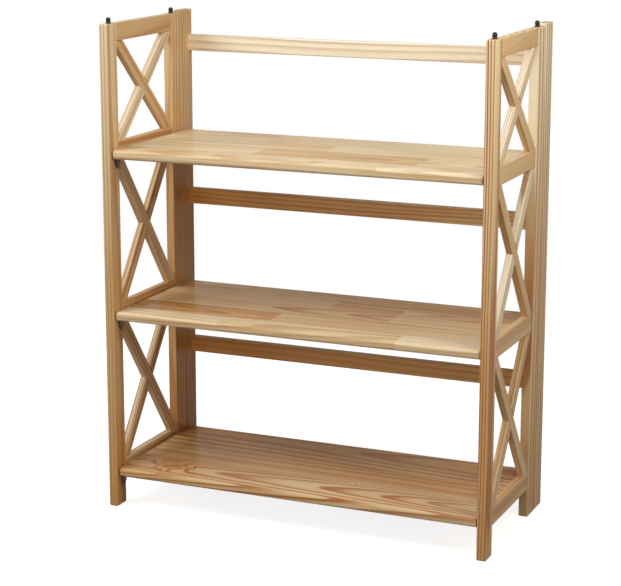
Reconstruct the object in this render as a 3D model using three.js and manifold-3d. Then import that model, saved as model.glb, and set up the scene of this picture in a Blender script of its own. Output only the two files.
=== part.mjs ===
// A folding, stackable bookcase in pine: a back frame, two side frames with crossed braces
// hinged to it, and three shelves that tip up on pins and lie in the back frame.
// Millimetres, +Z up, the front towards -Y, the origin on the floor under the middle.

import * as THREE from 'three';
import { mergeVertices } from 'three/addons/utils/BufferGeometryUtils.js';
import Module from 'manifold-3d';

const wasm = await Module();
wasm.setup();

// Overall sizes
const total_width = 793;
const total_depth = 356;
const top_bay_height = 242.5;

// Back frame
const back_post_depth = 47;
const back_post_rise = 4;
const back_rail_height = 33;
const back_rail_thickness = 19;
const back_rail_below_top = 48;

// Side frames
const frame_thickness = 19;
const front_stile_depth = 37;
const rear_stile_depth = 44;
const side_rail_height = 35;
const side_rail_thickness = 15;
const side_rail_above_shelf = 11.5;
const brace_thickness = 14;
const brace_width = 24.5;
const brace_aim_past_rail = 11;
const edge_ease = 1.6;
const top_corner_radius = 4;

// Shelves
const shelf_thickness = 18;
const lowest_shelf_top = 79.5;
const shelf_setback = 5;
const shelf_end_gap = 2.5;
const shelf_front_radius = 6;
const shelf_rear_radius = 2;
const shelf_end_ease = 1;
const fold_space = 3;
const fold_clearance = 0.7;

// Shelf pivots
const pivot_pin_radius = 2.5;
const pivot_inset = 6;
const pivot_pin_in_post = 13;
const pivot_pin_in_shelf = 26;

// Shelf rests, bent from steel strip, and their screws
const rest_metal = 1.5;
const rest_width = 17;
const rest_drop = 21.5;
const rest_point_rise = 6;
const rest_tab = 12;
const rest_rear_margin = 0.8;
const rest_screw_drop = 9;
const rest_screw_head_radius = 3.2;
const rest_screw_head_height = 0.8;
const rest_screw_radius = 1.6;
const rest_screw_length = 14;

// Stacking pegs on the side frames and the sockets under them
const peg_head_radius = 5;
const peg_height = 12;
const peg_skirt_height = 2.5;
const peg_neck_radius = 4.2;
const peg_neck_height = 1.2;
const peg_shank_radius = 3;
const peg_shank_length = 15;
const front_peg_setback = 21;
const rear_peg_setback = 16;
const socket_clearance = 0.4;
const socket_spare_depth = 1.5;

// Hinges between the side frames and the back posts
const joint_gap = 0.6;
const hinge_length = 46;
const hinge_below_shelf = 8;
const hinge_leaf_width = 16;
const hinge_leaf_thickness = 1.2;
const hinge_leaf_gap = 0.3;
const knuckle_radius = 2;
const hinge_pin_radius = 0.8;
const hinge_screw_radius = 1.4;
const hinge_screw_length = 12;
const hinge_screw_edge = 9;

// Stub tenons of the rails
const tenon_thickness = 7;
const tenon_height = 25;
const tenon_length = 9;

// Clearances and the overrun of every cutting tool
const fit_gap = 0.3;
const end_space = 0.6;
const overrun = 5;

// Counts
const knuckle_count = 3;
const round_sides = 16;
const small_round_sides = 8;
const edge_steps = 2;
const nose_steps = 4;

// Places worked out from the sizes
const front_y = -total_depth / 2;
const rear_y = total_depth / 2;
const joint_y = rear_y - back_post_depth;
const stile_rear_y = joint_y - joint_gap;
const hinge_axis_y = joint_y - joint_gap / 2;
const inner_x = total_width / 2 - frame_thickness;
const frame_x = inner_x + frame_thickness / 2;
const back_rail_y = rear_y - back_rail_thickness / 2;

const pivot_y = joint_y + fold_space + pivot_inset;
const shelf_front_y = front_y + shelf_setback;
const shelf_rear_y = pivot_y + pivot_inset;
const shelf_half_length = inner_x - shelf_end_gap;
const shelf_reach = pivot_y - shelf_front_y;
const shelf_pitch = shelf_reach + pivot_inset + fit_gap + rest_metal + fold_clearance;
const level_names = ['lower', 'middle', 'upper'];
const upper_shelf_top = lowest_shelf_top + shelf_pitch * (level_names.length - 1);
const side_height = upper_shelf_top + top_bay_height;
const back_post_height = side_height + back_post_rise;

const opening_front_y = front_y + front_stile_depth;
const opening_rear_y = stile_rear_y - rear_stile_depth;
const front_peg_y = front_y + front_peg_setback;
const rear_peg_y = opening_rear_y + rear_peg_setback;
const socket_radius = peg_head_radius + socket_clearance;
const socket_depth = peg_height + socket_spare_depth;

const sides = [-1, 1];
const levels = level_names.map((name, index) => {
  const top = lowest_shelf_top + index * shelf_pitch;
  const bottom = top - shelf_thickness;
  const hinge_z = bottom - hinge_below_shelf - hinge_length / 2;
  return { name, top, bottom, hinge_z, pivot_z: bottom + pivot_inset };
});

const hinge_levels = levels.filter((level) => level.name !== 'middle');
const side_rails = levels.map((level) => ({
  name: `${level.name}_rail`,
  top: level.top + side_rail_above_shelf,
}));
side_rails.push({ name: 'top_rail', top: side_height });

const rest_rear_y = opening_front_y - rest_rear_margin;
const rest_y = rest_rear_y - rest_width / 2;

// Finishes
const finish = (color, roughness, metalness) => new THREE.MeshStandardMaterial({ color, roughness, metalness });
const pine = finish(0xd8b283, 0.45, 0);
const black_peg = finish(0x141414, 0.3, 0.2);
const dark_bronze = finish(0x2c211b, 0.45, 0.7);
const hinge_brass = finish(0xb08d4f, 0.35, 0.9);
const bright_steel = finish(0xb9bcc0, 0.3, 1);

// Turns a closed three.js geometry into a solid that can be joined and cut; the flat triangles
// that a turned shape has at its axis are left out
function solidOf(geometry) {
  const bare = geometry.clone();
  bare.deleteAttribute('normal');
  bare.deleteAttribute('uv');
  const merged = mergeVertices(bare);
  const corners = [];
  for (let first = 0; first < merged.index.count; first += 3) {
    const [a, b, c] = [0, 1, 2].map((step) => merged.index.getX(first + step));
    if (a !== b && b !== c && c !== a) {
      corners.push(a, b, c);
    }
  }
  return new wasm.Manifold(new wasm.Mesh({
    numProp: 3,
    vertProperties: new Float32Array(merged.attributes.position.array),
    triVerts: new Uint32Array(corners),
  }));
}

// Turns a solid back into a geometry around the middle of its own box, and says where that is
function geometryOf(solid) {
  const box = solid.boundingBox();
  const middle = new THREE.Vector3(...box.min).add(new THREE.Vector3(...box.max)).multiplyScalar(0.5);
  const mesh = solid.translate(-middle.x, -middle.y, -middle.z).getMesh();
  const geometry = new THREE.BufferGeometry();
  geometry.setAttribute('position', new THREE.BufferAttribute(new Float32Array(mesh.vertProperties), 3));
  geometry.setIndex(new THREE.BufferAttribute(new Uint32Array(mesh.triVerts), 1));
  geometry.computeVertexNormals();
  return { geometry, middle };
}

// Adds a solid to a group as a named mesh at its own middle
function addPiece(group, name, solid, material) {
  const { geometry, middle } = geometryOf(solid);
  const mesh = new THREE.Mesh(geometry, material);
  mesh.name = name;
  mesh.position.copy(middle).sub(group.position);
  group.add(mesh);
}

function groupAt(parent, x, y, z) {
  const group = new THREE.Group();
  group.position.set(x, y, z);
  parent.add(group);
  return group;
}

function joined(solids) {
  return solids.reduce((whole, solid) => whole.add(solid));
}

function cutBy(solid, tools) {
  return tools.reduce((left, tool) => left.subtract(tool), solid);
}

// A box given by its lowest and highest corners
function boxBetween(low, high) {
  const size = high.map((value, index) => value - low[index]);
  const middle = high.map((value, index) => (value + low[index]) / 2);
  return solidOf(new THREE.BoxGeometry(...size)).translate(...middle);
}

// A rectangle with round corners, around its own middle
function roundedRectangle(width, height, radius) {
  const right = width / 2 - radius;
  const top = height / 2 - radius;
  const shape = new THREE.Shape();
  shape.absarc(right, top, radius, 0, Math.PI / 2);
  shape.absarc(-right, top, radius, Math.PI / 2, Math.PI);
  shape.absarc(-right, -top, radius, Math.PI, Math.PI * 1.5);
  shape.absarc(right, -top, radius, Math.PI * 1.5, Math.PI * 2);
  return shape;
}

// A shape in x and y pulled up along z, around its own middle
function prism(shape, length, steps) {
  const geometry = new THREE.ExtrudeGeometry(shape, { depth: length, bevelEnabled: false, curveSegments: steps });
  geometry.translate(0, 0, -length / 2);
  return solidOf(geometry);
}

// Prisms turned so that their length runs along x or y and their shape's height stays up
const alongX = (solid) => solid.rotate(90, 0, 90);
const alongY = (solid) => solid.rotate(90, 0, 0);

// A wooden bar with eased long edges, lying along z
function easedBar(width, height, length) {
  return prism(roundedRectangle(width, height, edge_ease), length, edge_steps);
}

// A round bar from a point along x, y or z; a negative length runs the other way
function roundBar(axis, start, radius, length, sides) {
  const geometry = new THREE.CylinderGeometry(radius, radius, Math.abs(length), sides);
  const turns = { x: [0, 0, 90], y: [0, 0, 0], z: [90, 0, 0] };
  const middle = { ...start, [axis]: start[axis] + length / 2 };
  return solidOf(geometry).rotate(...turns[axis]).translate(middle.x, middle.y, middle.z);
}

// A turned piece: its outline in radius and height, spun about z
function turned(outline, sides) {
  return solidOf(new THREE.LatheGeometry(outline, sides)).rotate(90, 0, 0);
}

// An upright with eased edges and rounded top corners, standing on the floor
function upright(x, low_y, high_y, height) {
  const depth = high_y - low_y;
  const middle_y = (low_y + high_y) / 2;
  const stick = easedBar(frame_thickness, depth, height).translate(x, middle_y, height / 2);
  const side_view = new THREE.Shape();
  const shoulder = height - top_corner_radius;
  side_view.moveTo(-depth / 2, 0);
  side_view.lineTo(depth / 2, 0);
  side_view.absarc(depth / 2 - top_corner_radius, shoulder, top_corner_radius, 0, Math.PI / 2);
  side_view.absarc(top_corner_radius - depth / 2, shoulder, top_corner_radius, Math.PI / 2, Math.PI);
  const envelope = alongX(prism(side_view, frame_thickness + overrun, nose_steps));
  return stick.intersect(envelope.translate(x, middle_y, 0));
}

// A stub tenon across a joint face along x or y, or the mortise for it, which is wider and deeper.
// It points from the face towards the low or the high end, and starts inside the rail by the overrun.
function tenon(axis, face, towards, is_mortise) {
  const grow = is_mortise ? fit_gap : 0;
  const half = {
    x: tenon_thickness / 2 + grow,
    y: tenon_thickness / 2 + grow,
    z: tenon_height / 2 + grow,
  };
  const low = { x: face.x - half.x, y: face.y - half.y, z: face.z - half.z };
  const high = { x: face.x + half.x, y: face.y + half.y, z: face.z + half.z };
  const tip = face[axis] + towards * (tenon_length + (is_mortise ? end_space : 0));
  const root = face[axis] - towards * overrun;
  low[axis] = Math.min(tip, root);
  high[axis] = Math.max(tip, root);
  return boxBetween([low.x, low.y, low.z], [high.x, high.y, high.z]);
}

// The joints of a side frame's rails with its stiles, and the back frame's rails
function sideJoints(x) {
  return side_rails.flatMap((rail) => [-1, 1].map((towards) => ({
    rail: rail.name,
    towards,
    face: { x, y: towards < 0 ? opening_front_y : opening_rear_y, z: rail.top - side_rail_height / 2 },
  })));
}

const back_rails = levels.map((level) => ({
  name: `back_rail_${level.name}`,
  z: level.top + top_bay_height - back_rail_below_top - back_rail_height / 2,
}));

// A peg with a skirt, a neck and a ball head, on a shank that goes down into the stile
function stackingPeg(x, y) {
  const ball_radius = peg_head_radius;
  const ball_z = peg_height - ball_radius;
  const neck_top = peg_skirt_height + peg_neck_height;
  const outline = [
    new THREE.Vector2(0, -peg_shank_length),
    new THREE.Vector2(peg_shank_radius, -peg_shank_length),
    new THREE.Vector2(peg_shank_radius, 0),
    new THREE.Vector2(peg_head_radius, 0),
    new THREE.Vector2(peg_head_radius, peg_skirt_height),
    new THREE.Vector2(peg_neck_radius, neck_top),
  ];
  const first_angle = -Math.acos(peg_neck_radius / ball_radius);
  for (let step = 1; step <= nose_steps; step += 1) {
    const angle = first_angle + (Math.PI / 2 - first_angle) * step / nose_steps;
    const radius = step === nose_steps ? 0 : ball_radius * Math.cos(angle);
    outline.push(new THREE.Vector2(radius, ball_z + ball_radius * Math.sin(angle)));
  }
  return turned(outline, round_sides).translate(x, y, side_height);
}

function pegHole(x, y) {
  const start = { x, y, z: side_height + overrun };
  const length = peg_shank_length + end_space + overrun;
  return roundBar('z', start, peg_shank_radius + fit_gap, -length, round_sides);
}

function footSocket(x, y) {
  return roundBar('z', { x, y, z: -overrun }, socket_radius, socket_depth + overrun, round_sides);
}

// A shelf rest: a pointed plate on the stile's inner face, bent over at the top to carry the shelf
function shelfRest(side, level) {
  const face_x = side * inner_x;
  const top_z = level.bottom - fit_gap;
  const low_z = top_z - rest_drop;
  const inward = (distance) => face_x - side * distance;
  const span = (near, far) => [Math.min(inward(near), inward(far)), Math.max(inward(near), inward(far))];
  const [plate_low_x, plate_high_x] = span(0, rest_metal);
  const [tab_low_x, tab_high_x] = span(0, rest_tab);
  const front = rest_y - rest_width / 2;
  const back = rest_y + rest_width / 2;
  const plate = boxBetween([plate_low_x, front, low_z], [plate_high_x, back, top_z]);
  const tab = boxBetween([tab_low_x, front, top_z - rest_metal], [tab_high_x, back, top_z]);
  const face = new THREE.Shape();
  face.moveTo(-rest_width / 2, rest_drop);
  face.lineTo(-rest_width / 2, rest_point_rise);
  face.lineTo(0, 0);
  face.lineTo(rest_width / 2, rest_point_rise);
  face.lineTo(rest_width / 2, rest_drop);
  const pointed = alongX(prism(face, total_width + overrun, 1)).translate(0, rest_y, low_z);
  return plate.add(tab).intersect(pointed);
}

// The screw of a shelf rest, driven from the bay into the stile
function restScrew(side, level) {
  const outline = [
    new THREE.Vector2(0, -rest_screw_length),
    new THREE.Vector2(rest_screw_radius, -rest_screw_length),
    new THREE.Vector2(rest_screw_radius, -rest_metal / 2),
    new THREE.Vector2(rest_screw_head_radius, -rest_metal / 2),
    new THREE.Vector2(rest_screw_head_radius, 0),
    new THREE.Vector2(rest_screw_head_radius * Math.SQRT1_2, rest_screw_head_height * Math.SQRT1_2),
    new THREE.Vector2(0, rest_screw_head_height),
  ];
  const x = side * (inner_x - rest_metal);
  const screw = turned(outline, small_round_sides).rotate(0, -side * 90, 0);
  return screw.translate(x, rest_y, restScrewHeight(level));
}

function restScrewHole(side, level) {
  const start = { x: side * (inner_x - overrun), y: rest_y, z: restScrewHeight(level) };
  const length = rest_screw_length - rest_metal + end_space + overrun;
  return roundBar('x', start, rest_screw_radius + fit_gap, side * length, small_round_sides);
}

function restScrewHeight(level) {
  return level.bottom - fit_gap - rest_screw_drop;
}

// One hinge leaf, on the stile or on the post, with the knuckles that belong to it
function hingeLeaf(side, level, on_stile) {
  const towards = on_stile ? -1 : 1;
  const axis_x = side * inner_x;
  const near_y = hinge_axis_y + towards * hinge_leaf_gap / 2;
  const far_y = near_y + towards * hinge_leaf_thickness;
  const low_y = Math.min(near_y, far_y);
  const high_y = Math.max(near_y, far_y);
  const outer_x = axis_x + side * hinge_leaf_width;
  const root_x = axis_x + side * (knuckle_radius + fit_gap);
  const low_z = level.hinge_z - hinge_length / 2;
  const plate = boxBetween(
    [Math.min(root_x, outer_x), low_y, low_z],
    [Math.max(root_x, outer_x), high_y, low_z + hinge_length],
  );
  const knuckle_length = (hinge_length - fit_gap * (knuckle_count - 1)) / knuckle_count;
  const solids = [plate];
  for (let index = 0; index < knuckle_count; index += 1) {
    if ((index % 2 === 1) === on_stile) {
      const z = low_z + index * (knuckle_length + fit_gap);
      solids.push(roundBar('z', { x: axis_x, y: hinge_axis_y, z }, knuckle_radius, knuckle_length, round_sides));
      solids.push(boxBetween(
        [Math.min(axis_x, outer_x), low_y, z],
        [Math.max(axis_x, outer_x), high_y, z + knuckle_length],
      ));
    }
  }
  const bore_start = { x: axis_x, y: hinge_axis_y, z: low_z - overrun };
  const bore = roundBar('z', bore_start, hinge_pin_radius + fit_gap, hinge_length + overrun * 2, round_sides);
  return joined(solids).subtract(bore).add(hingeScrews(side, level, on_stile, false));
}

function hingePin(side, level) {
  const start = { x: side * inner_x, y: hinge_axis_y, z: level.hinge_z - hinge_length / 2 };
  return roundBar('z', start, hinge_pin_radius, hinge_length, round_sides);
}

// The recess for a hinge: a pocket for the leaf and a groove for the knuckles
function hingeRecess(side, level, on_stile) {
  const towards = on_stile ? -1 : 1;
  const low_z = level.hinge_z - hinge_length / 2 - fit_gap;
  const high_z = level.hinge_z + hinge_length / 2 + fit_gap;
  const floor_y = hinge_axis_y + towards * (hinge_leaf_gap / 2 + hinge_leaf_thickness);
  const inner_edge = side * (inner_x - overrun);
  const outer_edge = side * (inner_x + hinge_leaf_width + fit_gap);
  const pocket = boxBetween(
    [Math.min(inner_edge, outer_edge), Math.min(floor_y, hinge_axis_y), low_z],
    [Math.max(inner_edge, outer_edge), Math.max(floor_y, hinge_axis_y), high_z],
  );
  const start = { x: side * inner_x, y: hinge_axis_y, z: low_z };
  return pocket.add(roundBar('z', start, knuckle_radius + fit_gap, high_z - low_z, round_sides));
}

// The two screws of a hinge leaf, flush with the leaf, or the holes for them in the wood
function hingeScrews(side, level, on_stile, is_hole) {
  const towards = on_stile ? -1 : 1;
  const x = side * (inner_x + (hinge_leaf_width + knuckle_radius) / 2);
  const near_y = hinge_axis_y + towards * (hinge_leaf_gap + hinge_leaf_thickness) / 2;
  const radius = hinge_screw_radius + (is_hole ? fit_gap : 0);
  const length = hinge_screw_length + (is_hole ? end_space : 0);
  const offset = hinge_length / 2 - hinge_screw_edge;
  return joined([-offset, offset].map((shift) => {
    const start = { x, y: near_y, z: level.hinge_z + shift };
    return roundBar('y', start, radius, towards * length, small_round_sides);
  }));
}

// A pivot pin of a shelf, from inside the shelf's end into the back post, or the hole for it
function pivotPin(side, level, is_hole) {
  const extra = is_hole ? end_space : 0;
  const start_x = side * (shelf_half_length - pivot_pin_in_shelf - extra);
  const length = pivot_pin_in_shelf + shelf_end_gap + pivot_pin_in_post + extra * 2;
  const radius = pivot_pin_radius + (is_hole ? fit_gap : 0);
  return roundBar('x', { x: start_x, y: pivot_y, z: level.pivot_z }, radius, side * length, round_sides);
}

// One bar of a crossed brace, fitted into its opening and half lapped over the other bar.
// The falling bar runs from the top at the front to the bottom at the rear, and stays whole on +X.
function braceBar(side, low_z, high_z, is_falling) {
  const low = { y: opening_front_y + fit_gap, z: low_z + fit_gap };
  const high = { y: opening_rear_y - fit_gap, z: high_z - fit_gap };
  const middle = { y: (low.y + high.y) / 2, z: (low.z + high.z) / 2 };
  const rise = high.z - low.z + brace_aim_past_rail * 2;
  const run = high.y - low.y;
  const lean = THREE.MathUtils.radToDeg(Math.atan2(rise, run));
  const slope = is_falling ? -lean : lean;
  const x = side * frame_x;
  const length = Math.hypot(rise, run) + brace_width * 2;
  const bar = alongY(easedBar(brace_thickness, brace_width, length)).rotate(slope, 0, 0);
  const opening = boxBetween(
    [x - brace_thickness, low.y, low.z],
    [x + brace_thickness, high.y, high.z],
  );
  const lap_side = is_falling ? -1 : 1;
  const lap_face = -lap_side * fit_gap / 2;
  const lap_end = lap_side * (brace_thickness / 2 + overrun);
  const lap_width = brace_width + fit_gap * 2;
  const lap = boxBetween(
    [Math.min(lap_face, lap_end), -length / 2, -lap_width / 2],
    [Math.max(lap_face, lap_end), length / 2, lap_width / 2],
  ).rotate(-slope, 0, 0);
  return bar.subtract(lap).translate(x, middle.y, middle.z).intersect(opening);
}

// A shelf board with a rounded front edge
function shelfBoard(level) {
  const low = -pivot_inset;
  const high = shelf_thickness - pivot_inset;
  const front = -shelf_reach;
  const rear = pivot_inset;
  const profile = new THREE.Shape();
  const nose = shelf_front_radius;
  const heel = shelf_rear_radius;
  profile.absarc(rear - heel, high - heel, heel, 0, Math.PI / 2);
  profile.absarc(front + nose, high - nose, nose, Math.PI / 2, Math.PI);
  profile.absarc(front + nose, low + nose, nose, Math.PI, Math.PI * 1.5);
  profile.absarc(rear - heel, low + heel, heel, Math.PI * 1.5, Math.PI * 2);
  const geometry = new THREE.ExtrudeGeometry(profile, {
    depth: (shelf_half_length - shelf_end_ease) * 2,
    bevelThickness: shelf_end_ease,
    bevelSize: shelf_end_ease,
    bevelOffset: -shelf_end_ease,
    bevelSegments: 1,
    curveSegments: nose_steps,
  });
  geometry.translate(0, 0, shelf_end_ease - shelf_half_length);
  const board = alongX(solidOf(geometry)).translate(0, pivot_y, level.pivot_z);
  return cutBy(board, sides.map((side) => pivotPin(side, level, true)));
}

function backPost(side) {
  const post = upright(side * frame_x, joint_y, rear_y, back_post_height);
  const face = (rail) => ({ x: side * inner_x, y: back_rail_y, z: rail.z });
  return cutBy(post, [
    ...levels.map((level) => pivotPin(side, level, true)),
    ...hinge_levels.map((level) => hingeRecess(side, level, false)),
    ...hinge_levels.map((level) => hingeScrews(side, level, false, true)),
    ...back_rails.map((rail) => tenon('x', face(rail), side, true)),
  ]);
}

function backRail(rail) {
  const bar = alongX(easedBar(back_rail_thickness, back_rail_height, inner_x * 2));
  const face = (side) => ({ x: side * inner_x, y: back_rail_y, z: rail.z });
  const tenons = sides.map((side) => tenon('x', face(side), side, false));
  return joined([bar.translate(0, back_rail_y, rail.z), ...tenons]);
}

function frontStile(side) {
  const x = side * frame_x;
  const joints = sideJoints(x).filter((joint) => joint.towards < 0);
  return cutBy(upright(x, front_y, opening_front_y, side_height), [
    pegHole(x, front_peg_y),
    footSocket(x, front_peg_y),
    ...joints.map((joint) => tenon('y', joint.face, joint.towards, true)),
    ...levels.map((level) => restScrewHole(side, level)),
  ]);
}

function rearStile(side) {
  const x = side * frame_x;
  const joints = sideJoints(x).filter((joint) => joint.towards > 0);
  return cutBy(upright(x, opening_rear_y, stile_rear_y, side_height), [
    pegHole(x, rear_peg_y),
    footSocket(x, rear_peg_y),
    ...joints.map((joint) => tenon('y', joint.face, joint.towards, true)),
    ...hinge_levels.map((level) => hingeRecess(side, level, true)),
    ...hinge_levels.map((level) => hingeScrews(side, level, true, true)),
  ]);
}

function sideRail(side, rail) {
  const x = side * frame_x;
  const length = opening_rear_y - opening_front_y;
  const middle_y = (opening_front_y + opening_rear_y) / 2;
  const bar = alongY(easedBar(side_rail_thickness, side_rail_height, length));
  const joints = sideJoints(x).filter((joint) => joint.rail === rail.name);
  return joined([
    bar.translate(x, middle_y, rail.top - side_rail_height / 2),
    ...joints.map((joint) => tenon('y', joint.face, joint.towards, false)),
  ]);
}

// A side frame: two stiles, four rails, three crossed braces, its stacking pegs and shelf rests
function addSideFrame(parent, side, label) {
  const x = side * frame_x;
  const group = groupAt(parent, x, 0, 0);
  addPiece(group, `${label}_front_stile`, frontStile(side), pine);
  addPiece(group, `${label}_rear_stile`, rearStile(side), pine);
  side_rails.forEach((rail) => addPiece(group, `${label}_${rail.name}`, sideRail(side, rail), pine));
  levels.forEach((level, index) => {
    const low_z = side_rails[index].top;
    const high_z = side_rails[index + 1].top - side_rail_height;
    addPiece(group, `${label}_brace_${level.name}_falling`, braceBar(side, low_z, high_z, true), pine);
    addPiece(group, `${label}_brace_${level.name}_rising`, braceBar(side, low_z, high_z, false), pine);
    const rest = shelfRest(side, level).add(restScrew(side, level));
    addPiece(group, `${label}_rest_${level.name}`, rest, dark_bronze);
  });
  addPiece(group, `${label}_front_peg`, stackingPeg(x, front_peg_y), black_peg);
  addPiece(group, `${label}_rear_peg`, stackingPeg(x, rear_peg_y), black_peg);
}

// The hinges of one side, each a leaf on the stile, a leaf on the post and a pin
function addHinges(parent, side, label) {
  const group = groupAt(parent, side * inner_x, hinge_axis_y, 0);
  hinge_levels.forEach((level) => {
    const name = `${label}_hinge_${level.name}`;
    addPiece(group, `${name}_stile_leaf`, hingeLeaf(side, level, true), hinge_brass);
    addPiece(group, `${name}_post_leaf`, hingeLeaf(side, level, false), hinge_brass);
    addPiece(group, `${name}_pin`, hingePin(side, level), bright_steel);
  });
}

const bookcase = new THREE.Group();
const back_frame = groupAt(bookcase, 0, back_rail_y, 0);
back_rails.forEach((rail) => addPiece(back_frame, rail.name, backRail(rail), pine));
sides.forEach((side) => {
  const label = side < 0 ? 'left' : 'right';
  addPiece(back_frame, `${label}_back_post`, backPost(side), pine);
  addSideFrame(bookcase, side, label);
  addHinges(bookcase, side, label);
});
levels.forEach((level) => {
  const shelf = groupAt(bookcase, 0, pivot_y, level.pivot_z);
  addPiece(shelf, `shelf_${level.name}`, shelfBoard(level), pine);
  sides.forEach((side) => {
    const label = side < 0 ? 'left' : 'right';
    addPiece(shelf, `shelf_${level.name}_${label}_pin`, pivotPin(side, level, false), bright_steel);
  });
});

export default bookcase;
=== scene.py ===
"""Dresses a folding bookcase: lacquered pine, dark bronze shelf rests, black stacking pegs, brass hinges."""

import logging
import math
import random
from contextlib import contextmanager
from dataclasses import dataclass, field, replace
from enum import Enum
from typing import Any, Callable, Iterable, Iterator, Sequence

import bmesh
import bpy
from mathutils import Color, Matrix, Vector


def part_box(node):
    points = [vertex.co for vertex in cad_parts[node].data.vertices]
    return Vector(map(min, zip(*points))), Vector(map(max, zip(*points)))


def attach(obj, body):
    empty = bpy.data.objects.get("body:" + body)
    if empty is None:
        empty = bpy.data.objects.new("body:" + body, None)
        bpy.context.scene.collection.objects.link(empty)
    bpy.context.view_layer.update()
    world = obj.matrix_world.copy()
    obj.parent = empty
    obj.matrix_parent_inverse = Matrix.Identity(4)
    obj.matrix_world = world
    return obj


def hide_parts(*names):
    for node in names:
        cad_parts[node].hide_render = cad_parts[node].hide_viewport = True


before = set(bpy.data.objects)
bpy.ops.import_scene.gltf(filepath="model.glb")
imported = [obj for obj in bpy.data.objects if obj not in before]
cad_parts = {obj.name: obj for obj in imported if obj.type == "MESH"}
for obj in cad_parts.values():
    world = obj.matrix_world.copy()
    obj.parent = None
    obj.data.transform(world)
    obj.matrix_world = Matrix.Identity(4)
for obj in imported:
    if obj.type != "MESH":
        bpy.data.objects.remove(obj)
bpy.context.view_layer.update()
LOG = logging.getLogger("bookcase")
MM = 0.001
RIGHT_ANGLE = 90.0
FULL_LEVEL = 255
NOISE_MEAN = 0.5
FLAT_FACE_WEIGHT = 100

Colour = tuple[float, float, float, float]
Point2 = tuple[float, float]
Triple = tuple[float, float, float]


def tint(red: int, green: int, blue: int) -> Colour:
    """Turns a colour as it looks on a screen, 0 to 255, into the linear colour that a shader takes."""
    screen = Color((red / FULL_LEVEL, green / FULL_LEVEL, blue / FULL_LEVEL))
    return (*screen.from_srgb_to_scene_linear(), 1.0)


class Side(Enum):
    """The two sides of the bookcase, by the sign of X."""

    LEFT = -1
    RIGHT = 1

    @property
    def label(self) -> str:
        """The word that starts the names of this side's pieces."""
        return self.name.lower()


class Level(Enum):
    """The three shelf levels."""

    LOWER = "lower"
    MIDDLE = "middle"
    UPPER = "upper"


HINGE_LEVELS = (Level.LOWER, Level.UPPER)


class Axis(Enum):
    """A direction of the frame, by its place in a vector."""

    X = 0
    Y = 1
    Z = 2

    @property
    def way(self) -> Vector:
        """The direction as a vector of length 1."""
        return Vector([float(axis is self) for axis in Axis])


class Value:
    """A number that varies over a surface: an output socket, with arithmetic that adds Math nodes."""

    def __init__(self, graph: "Graph", socket: bpy.types.NodeSocket) -> None:
        """Keeps the graph that new nodes go into and the socket that gives the number."""
        self.graph = graph
        self.socket = socket

    def math(self, operation: str, *others: "float | Value") -> "Value":
        """Adds a Math node that works on this value and up to two others, and gives its result."""
        return self.graph.node("ShaderNodeMath", {"operation": operation}, dict(enumerate((self, *others))))

    def __add__(self, other: "float | Value") -> "Value":
        """This value plus another."""
        return self.math("ADD", other)

    __radd__ = __add__

    def __mul__(self, other: "float | Value") -> "Value":
        """This value times another."""
        return self.math("MULTIPLY", other)

    __rmul__ = __mul__

    def __sub__(self, other: "float | Value") -> "Value":
        """This value less another."""
        return self.math("SUBTRACT", other)

    def __rsub__(self, other: float) -> "Value":
        """A number less this value."""
        return self.math("MULTIPLY_ADD", -1.0, other)

    def __truediv__(self, other: "float | Value") -> "Value":
        """This value divided by another."""
        return self.math("DIVIDE", other)

    def __rtruediv__(self, other: float) -> "Value":
        """A number divided by this value."""
        return self.graph.node("ShaderNodeMath", {"operation": "DIVIDE"}, {0: other, 1: self})


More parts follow.
